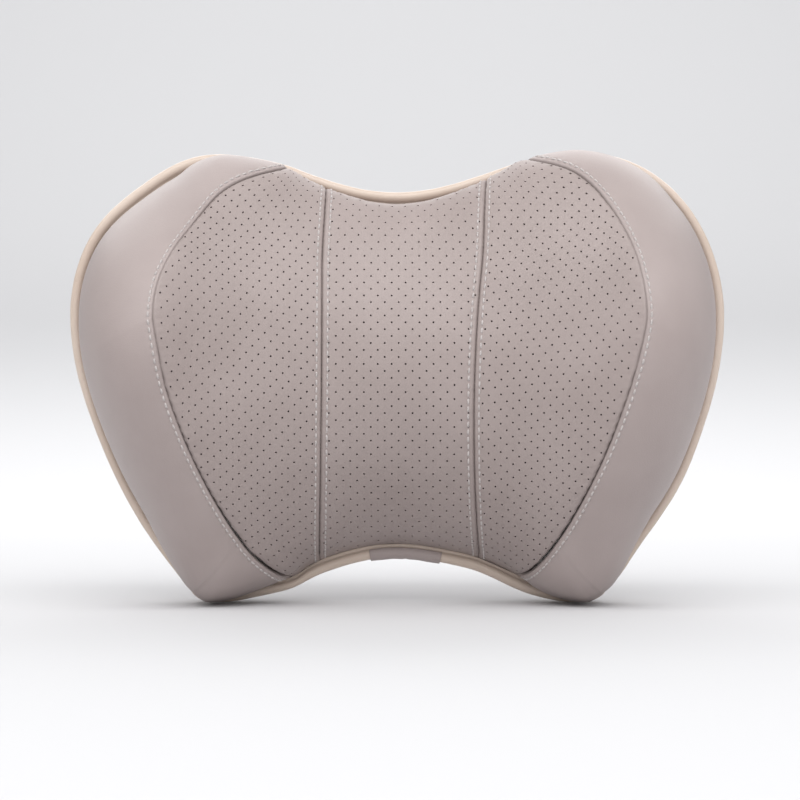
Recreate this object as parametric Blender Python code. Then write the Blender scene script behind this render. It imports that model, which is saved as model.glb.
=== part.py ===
"""Headrest neck cushion: a butterfly-shaped foam pad in a sewn leather cover with piping, a zip and a strap.

The cushion stands upright on its two lower corners. X runs to the right as seen from the front, Z is up,
and the front, where the neck rests, faces -Y. Lengths below are in millimetres; MM turns them into metres.
Shapes are worked out on the piping plane as (x, z, h), where h is the height in front of that plane.
"""

import bmesh
import bpy
import numpy as np
from mathutils import Vector
from mathutils.bvhtree import BVHTree

for old in list(bpy.data.objects):
    bpy.data.objects.remove(old)

MM = 0.001
FIT = 0.3  # gap left between two pieces that touch

# outline of the cushion, outside the piping
HALF_WIDTH = 150.0
HEIGHT = 206.0
WIDEST_Z = 130.0  # height of the widest point
LOBE_INSET = 66.0  # from the widest point in to the top of each lobe
TOP_DIP = 18.0  # the middle of the top edge below the lobes
ARCH_RISE = 20.7  # the middle of the bottom edge above the floor
FOOT_INSET = 60.0  # from the widest point in to the bottom corner
FOOT_FLAT = 6.0  # straight stretch inside the bottom corner
SIDE_POWER = 1.9  # how late the side turns in towards the foot
CORNER_RADIUS = 12.5

# cushion profile
CROWN = 50.0  # middle of the front above the piping plane
WING_RISE = 37.0  # crest of each wing above the middle
BACK_DEPTH = 24.0  # flat back behind the piping plane
BACK_EDGE = 20.0  # width of the rounded border of the back
FOOT_BULGE = 4.0  # leather bulging over the piping at the bottom corners
FOOT_SPREAD = 26.0  # how far along the edge that bulge reaches

# seams of the front, distances from the middle at the bottom, at mid-height and at the top
LEFT_SEAM = (34.8, 32.6, 33.4)
RIGHT_SEAM = (37.0, 33.8, 42.5)
SIDE_END_BOTTOM = 17.0  # width of a side panel along the bottom edge
SIDE_END_TOP = 19.0
WING_WIDTH = 45.0  # plain wing at its widest point
WING_SEAM_Z = 128.0

# cover layers
FRONT_LEATHER = 2.4  # perforated leather with its foam backing
BACK_LEATHER = 1.4
SEAM_GAP = 0.5
LINER = 0.8
SLIT_SHARE = 0.13  # half length of the liner's slit over the half width
LINER_ROOM = 2.5  # slack between the cover and the liner
FOAM_ROOM = 3.3
PIPE_RADIUS = 2.4
PIPE_WALL = 0.8
FLANGE = 0.5  # each leaf of the piping's seam allowance
THREAD_RADIUS = 0.35
STITCH_INSET_INNER = 1.2  # rows of stitches each side of a straight seam
STITCH_INSET_WING = 2.6
TAB_LENGTH = 32.0  # leather wrap over the joint in the piping
TAB_X = 4.0
TAB_WALL = 0.9

# zip across the back
ZIP_Z = 62.0
ZIP_CHAIN = 188.0
ZIP_SLOT = 10.0  # opening between the leather edges
TAPE_WIDTH = 12.0
TAPE_THICK = 0.6
TAPE_END = 4.5  # tape past each end of the chain
COIL_WIDTH = 1.6
COIL_HEIGHT = 1.2
CHAIN_SPLIT = 1.0  # room between the two coils for the slider's post
SLIDER_LENGTH = 9.0
SLIDER_WIDTH = 7.0
SLIDER_PLATE = 1.1
BAIL_HEIGHT = 2.6
BAIL_WIDTH = 1.8
BAIL_BAR = 0.9
PULL_LENGTH = 22.0
PULL_WIDTH = 6.0
PULL_THICK = 1.2

# strap across the back
STRAP_Z = 118.0
STRAP_WIDTH = 25.0
STRAP_THICK = 1.2
STRAP_STANDOFF = 20.0  # middle of the outer layer behind the back
ANCHOR_X = 97.0  # middle of each sewn patch
ANCHOR_SIZE = (24.0, 34.0)
ANCHOR_WALL = 1.3
RING_X = 60.0
RING_BAR = 1.5
RING_DEPTH = 14.0
ADJUSTER_X = -8.0
ADJUSTER_LENGTH = 24.0
ADJUSTER_BAR = 4.0

# mesh density
ROWS, CENTRE_COLUMNS, SIDE_COLUMNS = 28, 6, 4
WING_STEPS = (0.0, 0.25, 0.5, 0.7, 0.85, 0.95, 1.0)
RIM_H = 0.9  # the leather edges stand this far off the piping plane


# ---------------------------------------------------------------- materials and mesh helpers
def material(name, colour, roughness, metallic=0.0):
    """A Principled material of one colour."""
    made = bpy.data.materials.new(name)
    made.use_nodes = True
    shader = made.node_tree.nodes["Principled BSDF"]
    shader.inputs["Base Color"].default_value = (*colour, 1.0)
    shader.inputs["Roughness"].default_value = roughness
    shader.inputs["Metallic"].default_value = metallic
    return made


TAUPE = material("taupe_leather", (0.44, 0.37, 0.35), 0.5)
BEIGE = material("beige_piping", (0.68, 0.55, 0.44), 0.45)
THREAD = material("pale_thread", (0.72, 0.68, 0.66), 0.6)
FOAM = material("memory_foam", (0.82, 0.78, 0.62), 0.9)
KNIT = material("liner_knit", (0.85, 0.85, 0.84), 0.9)
CORD = material("piping_cord", (0.8, 0.8, 0.78), 0.8)
TAPE = material("zip_tape", (0.35, 0.3, 0.28), 0.85)
COIL = material("zip_coil", (0.3, 0.26, 0.25), 0.4)
METAL = material("zip_metal", (0.6, 0.58, 0.56), 0.3, 1.0)
ELASTIC = material("elastic_webbing", (0.33, 0.28, 0.27), 0.85)
PLASTIC = material("strap_plastic", (0.16, 0.14, 0.14), 0.4)

pillow = bpy.data.objects.new("pillow", None)
bpy.context.scene.collection.objects.link(pillow)


def add(name, mesh, look, parent=pillow, smooth=True):
    """Links a mesh as a named piece."""
    mesh.materials.append(look)
    if smooth:
        mesh.shade_smooth()
        mesh.set_sharp_from_angle(angle=0.7)
    piece = bpy.data.objects.new(name, mesh)
    bpy.context.scene.collection.objects.link(piece)
    piece.parent = parent
    return piece


def space(points):
    """(x, z, h) in millimetres becomes Blender's (x, y, z) in metres."""
    points = np.asarray(points, float)
    return np.stack([points[..., 0], -points[..., 2], points[..., 1]], -1) * MM


def mesh_of(name, points, faces):
    """A mesh with its faces turned outwards."""
    mesh = bpy.data.meshes.new(name)
    mesh.from_pydata([tuple(p) for p in points], [], [tuple(map(int, f)) for f in faces])
    mesh.validate()
    shape = bmesh.new()
    shape.from_mesh(mesh)
    bmesh.ops.recalc_face_normals(shape, faces=shape.faces)
    if shape.calc_volume(signed=True) < 0:
        bmesh.ops.reverse_faces(shape, faces=shape.faces)
    shape.to_mesh(mesh)
    shape.free()
    return mesh


def grid_faces(rows, columns, start=0):
    """Quads of a grid of rows x columns points, numbered row by row from start."""
    corner = start + (np.arange(rows - 1)[:, None] * columns + np.arange(columns - 1)).ravel()
    return np.stack([corner, corner + 1, corner + columns + 1, corner + columns], -1)


def border(rows, columns):
    """Indices round the edge of a grid, in order."""
    index = np.arange(rows * columns).reshape(rows, columns)
    return np.concatenate([index[0, :-1], index[:-1, -1], index[-1, :0:-1], index[:0:-1, 0]])


def slab(near, far):
    """Closed body between two grids of the same shape: both faces and the wall round their edge."""
    rows, columns = near.shape[:2]
    count = rows * columns
    edge = border(rows, columns)
    onward = np.roll(edge, -1)
    wall = np.stack([edge, onward, onward + count, edge + count], -1)
    back = grid_faces(rows, columns, count)[:, ::-1]
    points = np.concatenate([near.reshape(-1, 3), far.reshape(-1, 3)])
    return points, np.concatenate([grid_faces(rows, columns), back, wall])


def add_slab(name, near, far, look):
    return add(name, mesh_of(name, *slab(space(near), space(far))), look)


def strip(name, path, width, thickness, middle_z, look, parent=pillow):
    """Webbing of constant thickness along a path of (x, h) points, its width along Z."""
    path = np.asarray(path, float)
    along = np.gradient(path, axis=0)
    along /= np.linalg.norm(along, axis=1)[:, None]
    across = np.stack([-along[:, 1], along[:, 0]], -1) * thickness / 2
    sides = []
    for side in (path + across, path - across):
        low, high = (np.full(len(path), middle_z + s * width / 2) for s in (-1, 1))
        sides.append(np.stack([np.stack([side[:, 0], z, side[:, 1]], -1) for z in (low, high)], 1))
    return add(name, mesh_of(name, *slab(space(sides[0]), space(sides[1]))), look, parent)


def box(name, low, high, look, parent=pillow, bevel=0.0):
    """Box between two corners in (x, z, h), its edges rounded by bevel."""
    low, high = np.minimum(low, high), np.maximum(low, high)
    made = bmesh.new()
    bmesh.ops.create_cube(made, size=1.0)
    size = space(high - low)
    middle = space((low + high) / 2)
    for vertex in made.verts:
        vertex.co = Vector(np.array(vertex.co) * np.abs(size) + middle)
    if bevel:
        bmesh.ops.bevel(
            made, geom=list(made.edges), offset=bevel * MM, segments=2, profile=0.5, affect="EDGES"
        )
    mesh = bpy.data.meshes.new(name)
    made.to_mesh(mesh)
    made.free()
    return add(name, mesh, look, parent)


def joined(name, pieces, look, parent=pillow):
    """One piece from overlapping ones, by Boolean union."""
    first = pieces[0]
    for other in pieces[1:]:
        union = first.modifiers.new("join", "BOOLEAN")
        union.operation = "UNION"
        union.object = other
    return baked(name, first, pieces, look, parent)


def cut(name, solid, cutters, look, parent=pillow):
    """A piece with the cutters taken out of it."""
    for cutter in cutters:
        away = solid.modifiers.new("cut", "BOOLEAN")
        away.object = cutter
    return baked(name, solid, [solid, *cutters], look, parent)


def baked(name, source, used, look, parent):
    """The evaluated source as a plain mesh of its own, with the objects it was made from removed."""
    bpy.context.view_layer.update()
    graph = bpy.context.evaluated_depsgraph_get()
    mesh = bpy.data.meshes.new_from_object(source.evaluated_get(graph))
    for piece in used:
        bpy.data.objects.remove(piece)
    mesh.materials.clear()
    mesh.name = name
    return add(name, mesh, look, parent)


# ---------------------------------------------------------------- outline
def smooth_step(value):
    value = np.clip(value, 0.0, 1.0)
    return value * value * (3 - 2 * value)


def lengths(curve):
    """Distance along a curve at each of its points."""
    return np.concatenate([[0.0], np.cumsum(np.linalg.norm(np.diff(curve, axis=0), axis=1))])


def at_length(curve, distance, run=None):
    """Values of a curve at given distances along it, or along another curve whose lengths are run."""
    run = lengths(curve) if run is None else run
    return np.stack([np.interp(distance, run, curve[:, k]) for k in range(curve.shape[1])], -1)


def half_outline():
    """Right half of the outline from the bottom middle to the top middle, closely spaced.

    The bottom and top edges are half waves of a cosine. The side comes in towards the foot as a power of
    the drop below the widest point, and goes over the lobe as a quarter ellipse. An arc rounds the foot.
    """
    foot_x = HALF_WIDTH - FOOT_INSET
    flat_x = foot_x - FOOT_FLAT
    x = np.linspace(0, flat_x, 120)
    bottom = np.stack([x, ARCH_RISE * (0.5 + 0.5 * np.cos(np.pi * x / flat_x))], -1)
    z = np.linspace(0, WIDEST_Z, 240)
    side = np.stack([HALF_WIDTH - FOOT_INSET * (1 - z / WIDEST_Z) ** SIDE_POWER, z], -1)
    lean = np.arctan2(WIDEST_Z, FOOT_INSET * SIDE_POWER)
    reach = CORNER_RADIUS * np.tan(lean / 2)
    turn = np.linspace(-np.pi / 2, -np.pi / 2 + lean, 30)
    centre = np.array([foot_x - reach, CORNER_RADIUS])
    corner = centre + CORNER_RADIUS * np.stack([np.cos(turn), np.sin(turn)], -1)
    bottom = bottom[bottom[:, 0] < corner[0, 0] - 0.3]
    side = side[side[:, 1] > corner[-1, 1] + 0.3]
    side[:, 0] += (corner[-1, 0] - side[0, 0] + 0.26) * (1 - side[:, 1] / WIDEST_Z) ** 4
    turn = np.linspace(0, np.pi / 2, 160)[1:]
    lobe_x = HALF_WIDTH - LOBE_INSET
    lobe = np.stack(
        [lobe_x + LOBE_INSET * np.cos(turn), WIDEST_Z + (HEIGHT - WIDEST_Z) * np.sin(turn)], -1
    )
    x = np.linspace(lobe_x, 0, 120)[1:]
    top = np.stack([x, HEIGHT - TOP_DIP * (0.5 + 0.5 * np.cos(np.pi * x / lobe_x))], -1)
    curve = np.concatenate([bottom, corner, side, lobe, top])
    return at_length(curve, np.linspace(0, lengths(curve)[-1], 900))


def inward(curve):
    """Unit normals of the half outline, pointing into the cushion."""
    along = np.gradient(curve, axis=0)
    along[0], along[-1] = (1, 0), (-1, 0)
    along /= np.linalg.norm(along, axis=1)[:, None]
    return np.stack([-along[:, 1], along[:, 0]], -1)


def inset(curve, distance):
    return curve + inward(curve) * distance


OUTLINE = half_outline()
RIM_INSET = 2 * PIPE_RADIUS + SEAM_GAP  # the leather edge lies just inside the piping
RIM = inset(OUTLINE, RIM_INSET)
TOP_AT = int(np.argmax(OUTLINE[:, 1]))
WIDE_AT = int(np.argmax(OUTLINE[:, 0]))
FOOT_AT = int(np.argmin(OUTLINE[:, 1] - OUTLINE[:, 0] * 0.4))


def rim_levels(x):
    """Heights of the bottom and the top of the rim at a distance x from the middle."""
    x = np.abs(x)
    low = np.interp(x, RIM[: WIDE_AT + 1, 0], RIM[: WIDE_AT + 1, 1])
    high = np.interp(x, RIM[WIDE_AT:, 0][::-1], RIM[WIDE_AT:, 1][::-1])
    return low, high


def rim_position(x, top):
    """Distance along the rim at which it crosses x on its bottom or its top edge."""
    run = lengths(RIM)
    if top:
        return np.interp(x, RIM[TOP_AT:, 0][::-1], run[TOP_AT:][::-1])
    return np.interp(x, RIM[:FOOT_AT, 0], run[:FOOT_AT])


# ---------------------------------------------------------------- front surface
def saddle_height(x, z):
    """Height of the perforated front: a crown that rises towards the wings and rounds off at both edges."""
    low, high = rim_levels(x)
    across = (2 * z - low - high) / np.maximum(high - low, 1e-6)
    spread = np.abs(x) / (HALF_WIDTH - WING_WIDTH)
    power = 0.68 - 0.23 * smooth_step(spread)
    return (CROWN + WING_RISE * spread**2) * np.maximum(1 - across**2, 0) ** power


def straight_seam(widths, z_low, z_high):
    """Distance of a straight seam from the middle at three heights, as a parabola through them."""
    low, middle, high = widths

    def at(z):
        s = (z - z_low) / (z_high - z_low)
        return low * (1 - s) * (1 - 2 * s) + 4 * middle * s * (1 - s) + high * s * (2 * s - 1)

    return at


def curved_seam(end_low, end_high):
    """Seam between a side panel and its wing: two quarter superellipses that meet at the widest point."""
    turn = np.linspace(0, np.pi / 2, 200)
    wide = HALF_WIDTH - WING_WIDTH
    parts = []
    for end, power in ((end_low, 1.5), (end_high, 1.18)):
        x = end[0] + (wide - end[0]) * np.cos(turn) ** power
        z = WING_SEAM_Z + (end[1] - WING_SEAM_Z) * np.sin(turn) ** power
        parts.append(np.stack([x, z], -1))
    return np.concatenate([parts[0][::-1], parts[1][1:]])


def half_front(seam_widths, rows, centre_steps, side_steps, wing_steps):
    """Right-hand half of the front as three grids of (x, z, h): centre, side and wing."""
    t = np.linspace(0, 1, rows + 1)
    ease = (1 - np.cos(np.pi * t)) / 2
    x_low, _, x_high = seam_widths
    seam_x = straight_seam(seam_widths, rim_levels(x_low)[0], rim_levels(x_high)[1])
    foot = (x_low + SIDE_END_BOTTOM, rim_levels(x_low + SIDE_END_BOTTOM)[0])
    head = (x_high + SIDE_END_TOP, rim_levels(x_high + SIDE_END_TOP)[1])
    curve = curved_seam(foot, head)
    outer = at_length(curve, (0.5 * t + 0.5 * ease) * lengths(curve)[-1])
    outer[0], outer[-1] = foot, head
    low, high = rim_levels(x_low)[0], rim_levels(x_high)[1]
    z = low + (high - low) * ease
    seam = np.stack([seam_x(z), z], -1)
    low, high = rim_levels(0.0)
    middle = np.stack([np.zeros(rows + 1), low + (high - low) * ease], -1)

    def between(a, b, steps):
        grid = a[:, None] + (b - a)[:, None] * np.asarray(steps)[:, None]
        share = (grid[..., 1] - grid[:1, :, 1]) / (grid[-1:, :, 1] - grid[:1, :, 1])
        low_shift = rim_levels(grid[0, :, 0])[0] - grid[0, :, 1]
        high_shift = rim_levels(grid[-1, :, 0])[1] - grid[-1, :, 1]
        grid[..., 1] += low_shift * (1 - share) ** 2 + high_shift * share**2
        return np.concatenate([grid, saddle_height(grid[..., 0], grid[..., 1])[..., None]], -1)

    centre = between(middle, seam, centre_steps)
    side = between(seam, outer, side_steps)
    start = rim_position(foot[0] + 5.0, top=False)
    stop = rim_position(head[0] + 3.0, top=True)
    run = start + (stop - start) * t**1.25
    rim = at_length(RIM, run)
    rim_out = -at_length(inward(RIM), run, lengths(RIM))
    rim_out /= np.linalg.norm(rim_out, axis=1)[:, None]
    crest = side[:, -1, 2]
    w = np.asarray(wing_steps)[None, :]
    foot_run = lengths(RIM)[FOOT_AT]
    near_foot = np.exp(-(((run - foot_run) / FOOT_SPREAD) ** 2))[:, None]
    fullness = 2 / (2.2 + 0.8 * near_foot)
    a = np.sin(w * np.pi / 2) ** fullness
    b = np.abs(np.cos(w * np.pi / 2)) ** fullness
    height = crest[:, None] * b
    wing = outer[:, None] + (rim - outer)[:, None] * a[..., None]
    clear = smooth_step((height - 4.0) / 8.0) * smooth_step(3 * w)
    wing = wing + rim_out[:, None] * (FOOT_BULGE * near_foot * clear)[..., None]
    return centre, side, np.concatenate([wing, height[..., None]], -1)


def whole_front(rows, centre_steps, side_steps, wing_steps):
    """The front cover from the left rim to the right rim, and the column at which each panel starts."""
    sides = [half_front(w, rows, centre_steps, side_steps, wing_steps) for w in (LEFT_SEAM, RIGHT_SEAM)]
    for grid in sides[0]:
        grid[..., 0] *= -1
    centre_l, side_l, wing_l = (grid[:, ::-1] for grid in sides[0])
    centre_r, side_r, wing_r = sides[1]
    grid = np.concatenate(
        [wing_l, side_l[:, 1:], centre_l[:, 1:], centre_r[:, 1:], side_r[:, 1:], wing_r[:, 1:]], 1
    )
    grid[..., 2] = np.maximum(grid[..., 2], RIM_H)
    wing, side, centre = len(wing_steps) - 1, len(side_steps) - 1, len(centre_steps) - 1
    seams = np.cumsum([0, wing, side, 2 * centre, side, wing])
    return grid, seams


def normals(grid):
    """Outward unit normals of a grid in (x, z, h), h towards the viewer; flat in the plane along the rim."""
    du, dv = np.gradient(grid, axis=1), np.gradient(grid, axis=0)
    normal = np.cross(du, dv)
    edge = border(*grid.shape[:2])
    flat = normal.reshape(-1, 3)
    loop = grid.reshape(-1, 3)[edge][:, :2]
    ahead = np.roll(loop, -1, 0) - loop
    behind = loop - np.roll(loop, 1, 0)
    ahead /= np.linalg.norm(ahead, axis=1)[:, None]
    behind /= np.linalg.norm(behind, axis=1)[:, None]
    tangent = ahead + behind
    flat[edge] = np.stack([tangent[:, 1], -tangent[:, 0], np.zeros(len(edge))], -1)
    return (flat / np.linalg.norm(flat, axis=1)[:, None]).reshape(normal.shape)


def back_edge():
    """Width of the rounded border: never so wide that the ends of the zip's tapes leave the flat."""
    tape = np.array([ZIP_CHAIN / 2 + TAPE_END, ZIP_Z - CHAIN_SPLIT / 2 - TAPE_WIDTH])
    room = np.linalg.norm(RIM - tape, axis=1).min()
    return min(BACK_EDGE, max(room - SLOT_CLOSE, room / 2))


def back_height(x, z, depth=BACK_DEPTH):
    """Depth of the back behind the piping plane: flat, with a quarter ellipse along the rim."""
    rim = np.concatenate([RIM, RIM * (-1, 1)])[::3]
    place = np.stack([x, z], -1).reshape(-1, 2)
    away = np.min(np.linalg.norm(place[:, None] - rim[None], axis=-1), axis=1)
    share = np.clip(away / back_edge(), 0, 1)
    return (depth * np.sqrt(1 - (1 - share) ** 2)).reshape(np.shape(x))


def rim_outward(place):
    """Outward direction of the rim, level with the piping, at points (x, z) that lie on it."""
    away = -inward(RIM)
    rim, away = np.concatenate([RIM, RIM * (-1, 1)]), np.concatenate([away, away * (-1, 1)])
    nearest = np.linalg.norm(place[:, None] - rim[None], axis=-1).argmin(axis=1)
    return np.concatenate([away[nearest], np.zeros((len(place), 1))], -1)


def trimmed(grid, normal, first, last):
    """One panel's columns of the front, drawn in by half the seam gap at each seam."""
    panel, out = grid[:, first : last + 1].copy(), normal[:, first : last + 1]
    for column, neighbour in ((0, 1), (-1, -2)):
        if (first, last)[column] in (0, grid.shape[1] - 1):
            continue
        step = panel[:, neighbour] - panel[:, column]
        size = np.linalg.norm(step, axis=1)[:, None]
        panel[:, column] += step / size * np.minimum(SEAM_GAP / 2, size / 4)
    return panel, out


def front_panels():
    centre, side = np.linspace(0, 1, CENTRE_COLUMNS // 2 + 1), np.linspace(0, 1, SIDE_COLUMNS + 1)
    grid, seams = whole_front(ROWS, centre, side, WING_STEPS)
    normal = normals(grid)
    names = ("wing_left", "front_left", "front_centre", "front_right", "wing_right")
    for name, first, last in zip(names, seams, seams[1:]):
        panel, out = trimmed(grid, normal, first, last)
        add_slab(name + "_panel", panel, panel - out * FRONT_LEATHER, TAUPE)
    rows = (
        ("topstitch_wing_left", 1, -1, STITCH_INSET_WING),
        ("topstitch_inner_left_outer", 2, -1, STITCH_INSET_INNER),
        ("topstitch_inner_left_inner", 2, 1, STITCH_INSET_INNER),
        ("topstitch_inner_right_inner", 3, -1, STITCH_INSET_INNER),
        ("topstitch_inner_right_outer", 3, 1, STITCH_INSET_INNER),
        ("topstitch_wing_right", 4, 1, STITCH_INSET_WING),
    )
    for name, seam, side, distance in rows:
        column = seams[seam]
        on_seam, beside = grid[:, column], grid[:, column + side]
        step = beside - on_seam
        size = np.linalg.norm(step, axis=1)[:, None]
        path = on_seam + step * np.minimum(distance / size, 0.4)
        path = path + normal[:, column] * (FIT + THREAD_RADIUS + 0.15)
        tube(name, path[2:-2], THREAD_RADIUS, 3, THREAD)


def tube(name, path, radius, sides, look, closed=False, parent=pillow):
    """Round cord along a path of (x, z, h), as a bevelled curve with filled caps."""
    curve = bpy.data.curves.new(name, "CURVE")
    curve.dimensions = "3D"
    curve.bevel_depth = radius * MM
    curve.bevel_resolution = max(0, sides // 2 - 2)
    curve.use_fill_caps = not closed
    line = curve.splines.new("POLY")
    line.points.add(len(path) - 1)
    for point, place in zip(line.points, space(path)):
        point.co = (*place, 1.0)
    line.use_cyclic_u = closed
    curve.materials.append(look)
    piece = bpy.data.objects.new(name, curve)
    bpy.context.scene.collection.objects.link(piece)
    piece.parent = parent
    return piece


# ---------------------------------------------------------------- back panels
SLOT_END = ZIP_CHAIN / 2 + 3.5
SLOT_CLOSE = 4.0


def slot_half(x):
    """Half the opening between the two back panels: the zip's slot, closing to a seam past its ends."""
    open_share = 1 - smooth_step((np.abs(x) - SLOT_END) / SLOT_CLOSE)
    closed = SEAM_GAP / 2 + FIT / 2
    return closed + (ZIP_SLOT / 2 - closed) * open_share


def rim_between(start, stop, share):
    return at_length(RIM, start + (stop - start) * share)


def coons(bottom, top, left, right):
    """Grid spanned between four border curves that meet at the corners."""
    rows, columns = len(left), len(bottom)
    v, u = np.linspace(0, 1, rows)[:, None, None], np.linspace(0, 1, columns)[None, :, None]
    v = lengths(left)[:, None, None] / lengths(left)[-1]
    u = lengths(bottom)[None, :, None] / lengths(bottom)[-1]
    ruled = (1 - v) * bottom[None] + v * top[None] + (1 - u) * left[:, None] + u * right[:, None]
    corners = (1 - v) * ((1 - u) * bottom[0] + u * bottom[-1]) + v * ((1 - u) * top[0] + u * top[-1])
    return ruled - corners


def back_panels():
    run = lengths(RIM)
    foot_run, lobe_run = run[FOOT_AT], run[TOP_AT]
    zip_run = np.interp(ZIP_Z, RIM[FOOT_AT:WIDE_AT, 1], run[FOOT_AT:WIDE_AT])
    for name, sign, rows in (("back_upper_panel", 1, 10), ("back_lower_panel", -1, 7)):
        border_run = zip_run + sign * SEAM_GAP / 2
        end = at_length(RIM, border_run)
        outer = [SLOT_END + SLOT_CLOSE, (SLOT_END + SLOT_CLOSE + end[0]) / 2, end[0]]
        x = np.concatenate([-np.array(outer[::-1]), np.linspace(-SLOT_END, SLOT_END, 11), outer])
        zip_side = np.stack([x, ZIP_Z + sign * slot_half(x)], -1)
        rise = np.sin(np.pi / 2 * np.linspace(0, 1, rows))
        right = rim_between(border_run, lobe_run if sign > 0 else foot_run, rise)
        zip_side[0], zip_side[-1] = right[0] * (-1, 1), right[0]
        if sign > 0:
            half = rim_between(lobe_run, run[-1], 1 - np.cos(np.pi / 2 * np.linspace(0, 1, 9)))
        else:
            half = rim_between(foot_run, 0.0, 1 - np.cos(np.pi / 2 * np.linspace(0, 1, 9)))
        far_side = np.concatenate([half * (-1, 1), half[-2::-1]])
        grid = coons(zip_side, far_side, right * (-1, 1), right)
        depth = np.maximum(back_height(grid[..., 0], grid[..., 1]), RIM_H)
        edge = border(*depth.shape)
        rim_edge = np.append(edge[len(x) - 1 :], edge[0])
        depth.reshape(-1)[rim_edge] = RIM_H
        grid = np.concatenate([grid, -depth[..., None]], -1)
        du, dv = np.gradient(grid, axis=1), np.gradient(grid, axis=0)
        out = np.cross(du, dv) * (-sign)
        out.reshape(-1, 3)[rim_edge] = rim_outward(grid.reshape(-1, 3)[rim_edge, :2])
        out[0, :, 1] = 0  # the wall along the zip is square to it
        out /= np.linalg.norm(out, axis=-1)[..., None]
        add_slab(name, grid, grid - out * BACK_LEATHER, TAUPE)


# ---------------------------------------------------------------- piping
def pipe_stations(turn_weight=18.0, spacing=11.5):
    """Right half of the piping's middle line, its points closer together where it turns."""
    line = inset(OUTLINE, PIPE_RADIUS)
    step = np.diff(line, axis=0)
    angle = np.unwrap(np.arctan2(step[:, 1], step[:, 0]))
    weight = np.linalg.norm(step, axis=1)
    weight[1:] += turn_weight * np.abs(np.diff(angle))
    run = np.concatenate([[0.0], np.cumsum(weight)])
    count = int(run[-1] / spacing) + 1
    pick = np.interp(np.linspace(0, run[-1], count), run, np.arange(len(line)))
    low = np.floor(pick).astype(int).clip(0, len(line) - 2)
    share = (pick - low)[:, None]
    out = -inward(line)
    return line[low] * (1 - share) + line[low + 1] * share, out[low] * (1 - share) + out[low + 1] * share


def cover_profile():
    """Cross-section of the piping cover as (outward, h): a strip round the cord, its two leaves inside."""
    leaf = 2 * PIPE_RADIUS + SEAM_GAP - PIPE_RADIUS + FRONT_LEATHER
    slit = 0.1
    profile = []
    for radius, turns in ((PIPE_RADIUS, 8), (PIPE_RADIUS - PIPE_WALL, 6)):
        half = slit + (FLANGE if radius == PIPE_RADIUS else 0.0)
        start = np.pi - np.arcsin(half / radius)
        turn = np.linspace(start, -start, turns)
        ring = radius * np.stack([np.cos(turn), np.sin(turn)], -1)
        tail = [[-leaf, half]], [[-leaf, -half]]
        profile.append(np.concatenate([tail[0], ring, tail[1]]))
    return np.concatenate([profile[0], profile[1][::-1]])


def swept(name, line, out, profile, look):
    """Profile of (outward, h) points carried along a line in the piping plane, its ends closed."""
    place = line[:, None] + out[:, None] * profile[None, :, :1]
    height = np.broadcast_to(profile[None, :, 1:], place.shape[:2] + (1,))
    rings = space(np.concatenate([place, height], -1))
    rows, count = rings.shape[:2]
    start = (np.arange(rows - 1)[:, None] * count + np.arange(count)).ravel()
    onward = (np.arange(rows - 1)[:, None] * count + (np.arange(count) + 1) % count).ravel()
    faces = [tuple(f) for f in np.stack([start, onward, onward + count, start + count], -1)]
    faces += [tuple(range(count)), tuple(range((rows - 1) * count, rows * count))]
    return add(name, mesh_of(name, rings.reshape(-1, 3), faces), look)


def piping():
    half, out = pipe_stations()
    loop = np.concatenate([half, (half * (-1, 1))[-2:0:-1]])
    loop_out = np.concatenate([out, (out * (-1, 1))[-2:0:-1]])
    tube_path = np.concatenate([loop, np.zeros((len(loop), 1))], -1)
    cord_radius = (PIPE_RADIUS - PIPE_WALL) * np.cos(np.pi / 5) - FIT / 2
    tube("piping_cord", tube_path, cord_radius, 6, CORD, closed=True)
    closed = np.concatenate([loop, loop[:1]])
    closed_out = np.concatenate([loop_out, loop_out[:1]])
    run = lengths(closed)
    break_gap = 1.0

    def part(first, last):
        inside = (run > first + 0.5) & (run < last - 0.5)
        stations = np.concatenate([[first], run[inside], [last]])
        wrapped = stations % run[-1]
        return at_length(closed, wrapped), at_length(closed_out, wrapped, run)

    line, direction = part(TAB_X + break_gap, run[-1])
    if TAB_X > break_gap:
        tail = np.linspace(0, TAB_X - break_gap, 2)[1:]
        line = np.concatenate([line, at_length(closed, tail)])
        direction = np.concatenate([direction, at_length(closed_out, tail, run)])
    swept("piping_cover", line, direction, cover_profile(), BEIGE)
    at = TAB_X + TAB_LENGTH * np.linspace(-0.5, 0.5, 7)
    line = at_length(closed, at % run[-1])
    direction = at_length(closed_out, at % run[-1], run)
    inner = PIPE_RADIUS + FIT
    edge = np.arccos(-(PIPE_RADIUS + SEAM_GAP - 2 * FIT) / (inner + TAB_WALL))
    turn = np.linspace(edge, -edge, 11)
    ring = np.stack([np.cos(turn), np.sin(turn)], -1)
    profile = np.concatenate([ring * (inner + TAB_WALL), (ring * inner)[::-1]])
    swept("piping_joint_tab", line, direction, profile, TAUPE)


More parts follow.
